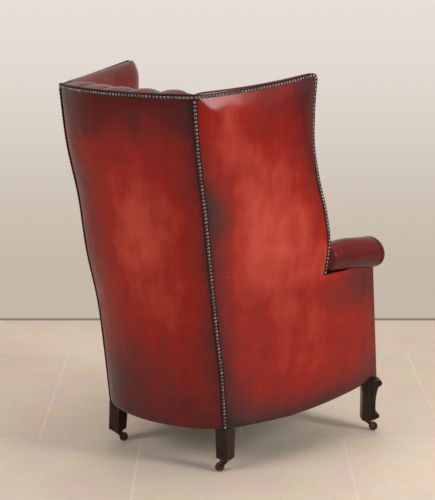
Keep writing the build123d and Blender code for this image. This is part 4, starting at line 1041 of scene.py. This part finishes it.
def wing_edge_line(v):
    """The side's nail line along its top, round the wing's tip and down the wing's front."""
    bend, foot_z, step = wing().tip_round, wing().foot_z, 0.002
    start_y, bend_y = corner_at(shell().nail_z, 0)[1], wing_front_y(tip_z()) + bend
    bend_z = top_line_z(bend_y) - bend
    top, turn, front = start_y - bend_y, bend * math.pi / 2, tip_z() - bend - foot_z
    total = top + turn + front

    def place(run):
        if run < top:
            y, z = start_y - run, top_line_z(start_y - run)
        elif run < top + turn:
            angle = (run - top) / bend
            y, z = bend_y - bend * math.sin(angle), bend_z + bend * math.cos(angle)
        else:
            z = mix(bend_z, foot_z, (run - top - turn) / front)
            y = wing_front_y(z)
        return side_frame(y, z)

    run = v * total
    here, normal = place(run)
    along = (place(min(run + step, total))[0] - place(max(run - step, 0))[0]).normalized()
    return here, normal, normal.cross(along).normalized()


class MakeBanding(bpy.types.Operator):
    """Makes the dark leather strips that carry the nails, rolled over the outer edges"""
    bl_idname = "wing_chair.banding"
    bl_label = "Banding"

    def execute(self, context):
        lines = (("seam", seam_line, SEAM_SECTION, 120), ("edge", wing_edge_line, BAND_SECTION, 260))
        strips = []
        for side in SIDES:
            for label, line, section, rows in lines:
                strip = band_strip(f"{label}_{side}", section, rows, line)
                for vertex in strip.data.vertices:
                    vertex.co = mirrored(vertex.co, side)
                strips.append(strip)
        strips.append(band_strip("back_strip", BAND_SECTION, 100, back_top_line))
        thickness, least_gap = 0.0012, 0.000001
        piece = weld(joined("nail_banding", strips))
        modifier(piece, "SOLIDIFY", thickness=thickness, offset=0)
        smooth(weld(piece, least_gap), 60)
        wear(piece, "Banding Hide", "chair", "banding_leather", "leather_banding")
        return {"FINISHED"}


class MakeNails(bpy.types.Operator):
    """Finishes the rows of domed nails"""
    bl_idname = "wing_chair.nails"
    bl_label = "Nails"

    def execute(self, context):
        for row in ("seams", "top_edge", "wing_edges", "facings", "front_border"):
            name = "nails_" + row
            wear(smoothed(name, 50), "Nail Brass", "chair", "antique_brass_nails", name)
        return {"FINISHED"}


# The buttoned back: half diamonds across, rows of buttons under the first one, and full lobes at the top.
TUFT_COLUMNS, TUFT_ROWS, LOBES = 10, 5, 5


class MakeInsideBack(bpy.types.Operator):
    """Makes the deep-buttoned inside back with its rolled and pleated top, and its buttons"""
    bl_idname = "wing_chair.inside_back"
    bl_label = "Inside back"

    def execute(self, context):
        hull, tufts = shell(), tuft()
        split_z, first_z = hull.nail_z - 0.014, hull.nail_z - tufts.first
        last_z = hull.nail_z + wing().margin - 0.004
        face_share, outer = 0.84, 0.0025
        column_pitch, dent_reach, dent_depth = 0.031, 0.012, 0.014

        def puff(column, z):
            """Fullness from 0 in a fold to 1 on a crest, with pleats above and below the buttons."""
            row = min(max((first_z - z) / tufts.row, 0.0), TUFT_ROWS)
            one, other = (column + row) / 2, (column - row) / 2
            return (abs(math.sin(math.pi * one)) * abs(math.sin(math.pi * other))) ** 0.42

        def dent(column, z):
            """1 at a button, fading to 0 around it."""
            row = (first_z - z) / tufts.row
            button_row = min(max(round(row), 0), TUFT_ROWS)
            odd = button_row % 2
            button_column = 2 * round((column - odd) / 2) + odd
            if not 0 < button_column < TUFT_COLUMNS:
                return 0.0
            aside, down = (column - button_column) * column_pitch, (row - button_row) * tufts.row
            return math.exp(-(aside ** 2 + down ** 2) / dent_reach ** 2)

        def inside_depth(u, z):
            column = u * TUFT_COLUMNS
            depth = mix(tufts.button + dent_depth, tufts.crest, puff(column, z))
            return mix(tufts.edge, depth - dent_depth * dent(column, z), ease(min(u, 1 - u) / 0.09))

        def rolled_top(u, turn):
            """Height and depth over the top, from the inside at turn 0 to the outside at turn pi."""
            lobe = abs(math.sin(math.pi * u * LOBES)) ** 0.55 * ease(min(u, 1 - u) / 0.05)
            rise = tufts.top_rise + 0.009 - 0.009 * (1 - lobe) * math.sin(turn) ** 2
            foot = split_z
            if turn >= math.pi / 2:
                foot = mix(split_z, last_z, ease(turn * 2 / math.pi - 1))
            inner = inside_depth(u, split_z)
            z = foot + max(rise - (foot - split_z), 0.002) * math.sin(turn) ** 0.8
            return z, (inner + outer) / 2 + (inner - outer) / 2 * math.cos(turn)

        def place(u, v):
            if v < face_share:
                z = mix(PAD_FOOT_Z, split_z, v / face_share)
                depth = inside_depth(u, z)
            else:
                z, depth = rolled_top(u, (v - face_share) / (1 - face_share) * math.pi)
            span = back_span(min(z, hull.nail_z), depth)
            return back_turn(-(2 * u - 1) * span, z, depth)

        def tone(u, v):
            full = puff(u * TUFT_COLUMNS, mix(PAD_FOOT_Z, split_z, min(v / face_share, 1)))
            return 0.12 + 0.46 * full ** 1.5 - 0.24 * ease((v - 0.82) / 0.08) * full

        piece = shaped_grid("buttoned_back", 170, 280, place, tone)
        weld(piece, 0.00001)
        face_towards(piece, Vector((0, -1, 0)))
        modifier(piece, "SOLIDIFY", thickness=0.005, offset=-1)
        smooth(piece)
        wear(piece, "Inside Hide", "chair", "hide_oxblood", "inside_back_pad")
        wear(smoothed("back_buttons", 60, 0.3), "Inside Hide", "chair", "hide_dark", "back_buttons")
        return {"FINISHED"}


class MakeWings(bpy.types.Operator):
    """Makes the stuffed inside of each wing, with a full roll along its edges"""
    bl_idname = "wing_chair.wings"
    bl_label = "Inside wings"

    def execute(self, context):
        hull, wings = shell(), wing()
        outer, margin = 0.0028, wings.margin - UNDER_BAND
        rounds = (0.03, 0.2, 0.03, 0.12)
        back_overlap, roll_round, slack_size, slack_height = 0.012, 0.045, 0.09, 0.006

        def place(u, v, h):
            top_y = mix(corner_at(hull.nail_z, 0.03)[1], wing_front_y(tip_z()) - margin, u)
            top = top_line_z(top_y) + margin + 0.006 * (1 - u) * ease(u / 0.1)
            z = mix(wings.pad_foot_z, top, v)
            depth = mix(wings.edge_depth, wings.pad_depth if h > 0 else outer, abs(h))
            overlap = back_overlap * ease((wings.pad_depth - depth) / 0.01 + 1)
            rear = corner_at(min(z, hull.nail_z), depth)[1] + overlap
            front = wing_front_y(min(z, tip_z())) - margin
            y, z = round_tip(mix(rear, front, u), z, front, margin, roll_round * max(h, 0))
            slack = ripple(Vector((0, y, z)), slack_size, slack_height) * max(h, 0)
            return side_point(y, z, depth + slack)

        def tone(u, v):
            rim = near(1 - v, 0.08) + near(v, 0.08) + 0.6 * near(1 - u, 0.1)
            return 0.48 + 0.1 * blob(u, v, 0.5, 0.5, 0.4, 0.4) - 0.24 * rim

        for side in SIDES:
            piece = slab_piece(f"wing_stuffing_{side}", 72, 96,
                               lambda u, v, h: mirrored(place(u, v, h), side), rounds, tone)
            wear(piece, "Inside Hide", "chair", "hide_oxblood", f"wing_pad_{side}")
        return {"FINISHED"}


def arm_outline(share, low_z, hollow, grow=0.0):
    """Section of the arm, as points (x, z) from its inner foot over the roll to its outer foot, and its y."""
    arms = arm()
    half, roll_z, radius = roll_at(share)
    y = mix(shell().line_y - arms.roll_reach, front_plane_y(roll_z) + arms.board + 0.0005, share)

    def wall(steps, count, start, end, depth):
        """Points up or down the side at a depth."""
        heights = [mix(start, end, k / count) for k in steps]
        return [(side_point(y, z, depth).x, z) for z in heights]

    def bend(steps, count, reach, centre_z, start, turn):
        """Points round the roll's middle at a reach."""
        angles = [start - turn * k / count for k in steps]
        return [(half + reach * math.cos(angle), centre_z + reach * math.sin(angle)) for angle in angles]

    sweep = half - side_point(y, roll_z, arms.depth).x
    shoulder, tuck_z = roll_z + radius - sweep, roll_z - radius
    points = wall(range(12), 12, low_z, shoulder, arms.depth + grow)
    points += bend(range(13), 12, sweep + grow, shoulder, math.pi, math.pi / 2)
    points += bend(range(1, 25), 24, radius + grow, roll_z, math.pi / 2, math.pi)
    points += [(side_point(y, tuck_z, hollow - grow).x, tuck_z - grow)]
    points += wall(range(1, 9), 8, tuck_z, low_z, hollow - grow)
    return points, y


class MakeArms(bpy.types.Operator):
    """Makes the stuffed arms with their outward rolls, and the arm fronts"""
    bl_idname = "wing_chair.arms"
    bl_label = "Arms"

    def execute(self, context):
        for side in SIDES:
            roll = self.roll(side, arm())
            wear(roll, "Inside Hide", "chair", "hide_oxblood")
            inner = self.inner(side, arm())
            wear(inner, "Inside Hide", "chair", "hide_oxblood", f"arm_pad_{side}")
            facing = softened(f"arm_facing_{side}", 0.0025)
            set_tone(facing, [0.24 + 0.3 * blob(v.co.z, 0, 0.36, 0, 0.16, 1) for v in facing.data.vertices])
            wear(facing, "Inside Hide", "chair", "hide_oxblood", f"arm_facing_{side}")
        return {"FINISHED"}

    def roll(self, side, arms):
        """The roll's leather, plump in the middle and tucked in behind the wing's edge at its rear end."""
        foot_z, hollow, start = 0.3, 0.0035, -0.085
        tuck_run, tuck, plump = 0.13, 0.022, 0.005

        def place(u, v):
            run = mix(start, 1, v)
            tucked = 1 - ease((run - start) / tuck_run)
            points, y = arm_outline(run, foot_z, hollow, -0.004 * tucked)
            half, roll_z, radius = roll_at(run)
            spot = u * (len(points) - 1)
            k = min(int(spot), len(points) - 2)
            (x, z), (next_x, next_z) = points[k], points[k + 1]
            x, z = mix(x, next_x, spot - k), mix(z, next_z, spot - k)
            lean = arms.lean * run * (z - mix(*arms.roll_z, run))
            here = Vector((x, y + lean, z))
            here.x -= tuck * tucked * ease((x - half + radius) / (2 * radius))
            here.z += plump * math.sin(math.pi * min(max(run, 0), 1)) * ease((z - roll_z) / radius)
            here.x += ripple(here, 0.07, 0.003) + ripple(here, 0.02, 0.0008)
            here.z += ripple(here.yzx, 0.06, 0.002)
            return mirrored(here, side)

        def tone(u, v):
            return 0.2 + 0.14 * blob(u, 0, 0.52, 0, 0.16, 1) - 0.12 * near(v, 0.12) - 0.1 * near(1 - v, 0.06)

        columns = len(arm_outline(0, foot_z, hollow)[0]) - 1
        piece = shaped_grid(f"arm_roll_{side}", columns, 64, place, tone)
        modifier(piece, "SUBSURF", levels=1, render_levels=1)
        return smooth(weld(piece, cap=True), 60)

    def inner(self, side, arms):
        """The lining inside the arm, from the seat up to the wing's stuffing."""
        outer, top_z = 0.031, wing().pad_foot_z + 0.012
        front = shell().line_y - arms.roll_reach - 0.02

        def place(u, v, h):
            z = mix(PAD_FOOT_Z, top_z, v)
            depth = mix(outer, arms.depth, (h + 1) / 2)
            y = mix(corner_at(z, depth)[1] - 0.002, front, u)
            return mirrored(side_point(y, z, depth), side)

        def tone(u, v):
            return 0.42 - 0.15 * near(1 - v, 0.1) - 0.1 * near(u, 0.1)

        return slab_piece(f"arm_lining_{side}", 40, 40, place, (0.02, 0.02, 0.02, 0.05), tone)


class MakeSeat(bpy.types.Operator):
    """Makes the loose cushion, its piping, the seat platform and the seat front"""
    bl_idname = "wing_chair.seat"
    bl_label = "Seat"

    def execute(self, context):
        self.cushion()
        for name, width in (("front_border", 0.005), ("seat_deck", 0.006)):
            piece = softened(name, width)
            set_tone(piece, [0.4] * len(piece.data.vertices))
            wear(piece, "Inside Hide", "chair", "hide_oxblood", name)
        wear(smoothed("cushion_piping", 70, 0.2), "Inside Hide", "seat_cushion", "hide_dark",
             "cushion_piping")
        return {"FINISHED"}

    def cushion(self):
        """Boxed cushion with rounded edges, sat in at the middle of its top and slightly wavy around it."""
        low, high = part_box("seat_cushion")
        middle, size = (low + high) / 2, high - low
        sag, waviness = 0.006, 0.0012
        piece = merged_copy("seat_cushion")
        piece.name = piece.data.name = "loose_cushion"
        modifier(piece, "REMESH", mode="VOXEL", voxel_size=0.006, use_smooth_shade=True)
        modifier(piece, "SMOOTH", factor=0.5, iterations=4)
        tones = []
        for vertex in piece.data.vertices:
            co = vertex.co
            share_x, share_y = (co.x - middle.x) / size.x * 2, (co.y - middle.y) / size.y * 2
            top = ease((co.z - mix(low.z, high.z, 0.7)) / size.z * 3)
            worn = blob(share_x, share_y, 0, -0.05, 0.6, 0.6)
            co.z -= sag * worn * top
            co.z += waviness * math.sin(31 * co.x + 13 * co.y) * top * (1 - worn)
            tones.append(0.34 + 0.3 * worn * top - 0.1 * (1 - top))
        set_tone(piece, tones)
        smooth(piece)
        wear(piece, "Inside Hide", "seat_cushion", "hide_oxblood", "seat_cushion")


class MakeLegs(bpy.types.Operator):
    """Finishes the dark polished legs with rounded edges"""
    bl_idname = "wing_chair.legs"
    bl_label = "Legs"

    def execute(self, context):
        for side in SIDES:
            for name, width in ((f"rear_leg_{side}", 0.0016), (f"front_leg_{side}", 0.0032)):
                wear(softened(name, width), "Leg Mahogany", "chair", "leg_mahogany", name)
        return {"FINISHED"}


class MakeCastors(bpy.types.Operator):
    """Finishes the brass castors"""
    bl_idname = "wing_chair.castors"
    bl_label = "Castors"

    def execute(self, context):
        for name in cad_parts:
            if name.startswith("castor_"):
                moving = name.startswith(("castor_horn_", "castor_wheel_"))
                body = name.replace("castor_", "") if moving else "chair"
                wear(smoothed(name, 35), "Castor Brass", body, "castor_brass", name)
        return {"FINISHED"}


class MakeInnerFrame(bpy.types.Operator):
    """Finishes the timber, webbing, springs and cloths inside the upholstery"""
    bl_idname = "wing_chair.inner_frame"
    bl_label = "Inner frame"

    def execute(self, context):
        finishes = {"seat_webbing": "Jute Webbing", "seat_hessian": "Black Hessian",
                    "dust_cover": "Black Hessian", "seat_springs": "Spring Steel"}
        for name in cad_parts:
            if any(word in name for word in ("rail", "post", "stump", "corner_blocks")):
                finishes[name] = "Beech"
        for name, material in finishes.items():
            finish(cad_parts[name], material)
        return {"FINISHED"}


def staged_plane(name, material, size, **placing):
    """A plane of the stage, which is no part of the chair."""
    clear_selection()
    bpy.ops.mesh.primitive_plane_add(size=size, **placing)
    piece = bpy.context.object
    piece.name = name
    piece.data.materials.append(material)


def shaded(tint, share):
    """A darker colour, as red, green, blue and 1."""
    return (*[part * share for part in tint], 1)


class SetStage(bpy.types.Operator):
    """Lays the pale stone floor, puts up the wall, and sets the lamps and the camera"""
    bl_idname = "wing_chair.stage"
    bl_label = "Stage"

    def execute(self, context):
        room = context.scene.chair_room
        view = Vector((-math.sin(room.heading), math.cos(room.heading), 0))
        middle = view * room.wall_distance + Vector((0, 0, 3))
        staged_plane("stone_floor", self.stone(room), 40)
        staged_plane("plain_wall", self.plain(room), 14, location=middle,
                     rotation=(math.pi / 2, 0, room.heading))
        self.lamps(context)
        self.surroundings(context, room)
        self.camera(context, room)
        context.scene.view_settings.view_transform = "Standard"
        return {"FINISHED"}

    def stone(self, room):
        """Honed stone slabs laid square to the view, mottled and pitted."""
        material, tree, shader, place = new_material("Pale Stone")
        turned = texture(tree, "Mapping", place, Location=(0.2, 0.0, 0.0),
                         Rotation=(0, 0, -room.heading))
        slabs = texture(tree, "TexBrick", turned.outputs[0], Scale=1.0)
        settle(slabs, Brick_Width=0.61, Row_Height=0.925, Mortar_Size=0.005, Mortar_Smooth=0.8,
               Color1=(*room.floor, 1), Color2=shaded(room.floor, 0.94), Mortar=(*room.joint, 1))
        cloud = texture(tree, "TexNoise", place, Scale=7.0, Detail=8.0, Roughness=0.65)
        speck = texture(tree, "TexNoise", place, Scale=110.0, Detail=6.0, Roughness=0.75)
        mottle = blend_colour(tree, 0.4, slabs.outputs["Color"], cloud.outputs["Color"], "SOFT_LIGHT")
        pits = remap(tree, speck.outputs["Fac"], 0.3, 0.52, 0.5, 0.0)
        mottle = blend_colour(tree, pits, mottle, shaded(room.floor, 0.62))
        wire(tree, (mottle, shader.inputs["Base Color"]),
             (bump(tree, slabs.outputs["Fac"], 0.2, -0.002), shader.inputs["Normal"]))
        settle(shader, Roughness=0.55)
        return material

    def plain(self, room):
        """Wall that shows the camera and gloss a glow of painted light, darker low down and lighter towards
        the top, over a painted shadow line at its foot; for other rays it is a matt wall that throws soft
        light, and it is clear from behind.
        Its heights are measured from its middle."""
        foot, foot_shadow, low, high = -3.0, 0.015, -2.9, -1.7
        material, tree, out = blank_material("Plain Wall")
        place = node(tree, "ShaderNodeTexCoord")
        height = node(tree, "ShaderNodeSeparateXYZ")
        # Painted light: the glow is darker low down and lighter towards the top.
        level = remap(tree, height.outputs["Y"], low, high)
        tint = blend_colour(tree, level, (*room.wall_low_shade, 1), (*room.wall_high_light, 1))
        # Painted shadow: a thin dark line along the foot of the wall.
        above_foot_shadow = remap(tree, height.outputs["Y"], foot, foot + foot_shadow)
        tint = blend_colour(tree, above_foot_shadow, shaded(room.wall_low_shade, 0.3), tint)
        matt = node(tree, "ShaderNodeBsdfDiffuse", Color=(*room.wall, 1))
        glow = node(tree, "ShaderNodeEmission", Strength=1.0)
        seen = seen_mix(tree, matt.outputs[0], glow.outputs[0])
        rear = node(tree, "ShaderNodeNewGeometry")
        clear = node(tree, "ShaderNodeBsdfTransparent")
        sided = node(tree, "ShaderNodeMixShader")
        wire(tree, (place.outputs["Object"], height.inputs[0]), (tint, glow.inputs["Color"]),
             (rear.outputs["Backfacing"], sided.inputs[0]), (seen, sided.inputs[1]),
             (clear.outputs[0], sided.inputs[2]), (sided.outputs[0], out.inputs[0]))
        return material

    def lamps(self, context):
        aim = Vector((0, 0, 0.6))
        for name, place, width, height, power in (
            ("side", (-3.4, -0.5, 1.7), 0.8, 1.6, 74),
            ("rear", (1.2, 3.3, 2.4), 1.5, 1.5, 68),
            ("top", (-0.4, -0.3, 3.4), 2.4, 2.4, 44),
        ):
            lamp = bpy.data.lights.new(name, "AREA")
            lamp.shape, lamp.size, lamp.size_y = "RECTANGLE", width, height
            lamp.energy, lamp.color = power, (1.0, 0.965, 0.92)
            item = bpy.data.objects.new(name, lamp)
            item.location = place
            item.rotation_euler = (aim - Vector(place)).to_track_quat("-Z", "Y").to_euler()
            context.scene.collection.objects.link(item)

    def surroundings(self, context, room):
        """Soft light from all round, seen as the wall's colour."""
        world = bpy.data.worlds.new("Soft Room")
        world.use_nodes = True
        tree = world.node_tree
        tree.nodes.clear()
        out = node(tree, "ShaderNodeOutputWorld")
        light = node(tree, "ShaderNodeBackground", Color=(1.0, 0.97, 0.93, 1), Strength=0.4)
        pale = node(tree, "ShaderNodeBackground", Color=(*room.wall, 1), Strength=1.0)
        wire(tree, (seen_mix(tree, light.outputs[0], pale.outputs[0]), out.inputs[0]))
        context.scene.world = world

    def camera(self, context, room):
        lens = bpy.data.cameras.new("Camera")
        lens.lens, lens.sensor_width, lens.sensor_fit = room.lens, 36, "AUTO"
        item = bpy.data.objects.new("Camera", lens)
        item.location = room.eye
        item.rotation_euler = (math.pi / 2 - room.pitch, 0, room.heading)
        context.scene.collection.objects.link(item)
        context.scene.camera = item


OPERATORS = (
    SetStage, MakeFinishes, MakeOutsideBack, MakeOutsideSides, MakeBanding, MakeNails, MakeInsideBack,
    MakeWings, MakeArms, MakeSeat, MakeLegs, MakeCastors, MakeInnerFrame,
)


class WingChairPanel(bpy.types.Panel):
    """Lists the chair's pieces and sizes"""
    bl_idname = "VIEW3D_PT_wing_chair"
    bl_label = "Wing Chair"
    bl_space_type = "VIEW_3D"
    bl_region_type = "UI"
    bl_category = "Wing Chair"

    def draw(self, context):
        for operator in OPERATORS:
            self.layout.operator(operator.bl_idname)
        for name, group in GROUPS.items():
            box = self.layout.box()
            box.label(text=name.replace("chair_", "").title())
            for key in group.__annotations__:
                box.prop(getattr(context.scene, name), key)


def register():
    plan_at.cache_clear()
    for group in GROUPS.values():
        bpy.utils.register_class(group)
    for name, group in GROUPS.items():
        setattr(bpy.types.Scene, name, PointerProperty(type=group))
    for item in (*OPERATORS, WingChairPanel):
        bpy.utils.register_class(item)


def unregister():
    for item in reversed((*OPERATORS, WingChairPanel)):
        bpy.utils.unregister_class(item)
    for name in GROUPS:
        delattr(bpy.types.Scene, name)
    for group in GROUPS.values():
        bpy.utils.unregister_class(group)


def main():
    register()
    for operator in OPERATORS:
        module, name = operator.bl_idname.split(".")
        getattr(getattr(bpy.ops, module), name)()


if __name__ == "__main__":
    main()
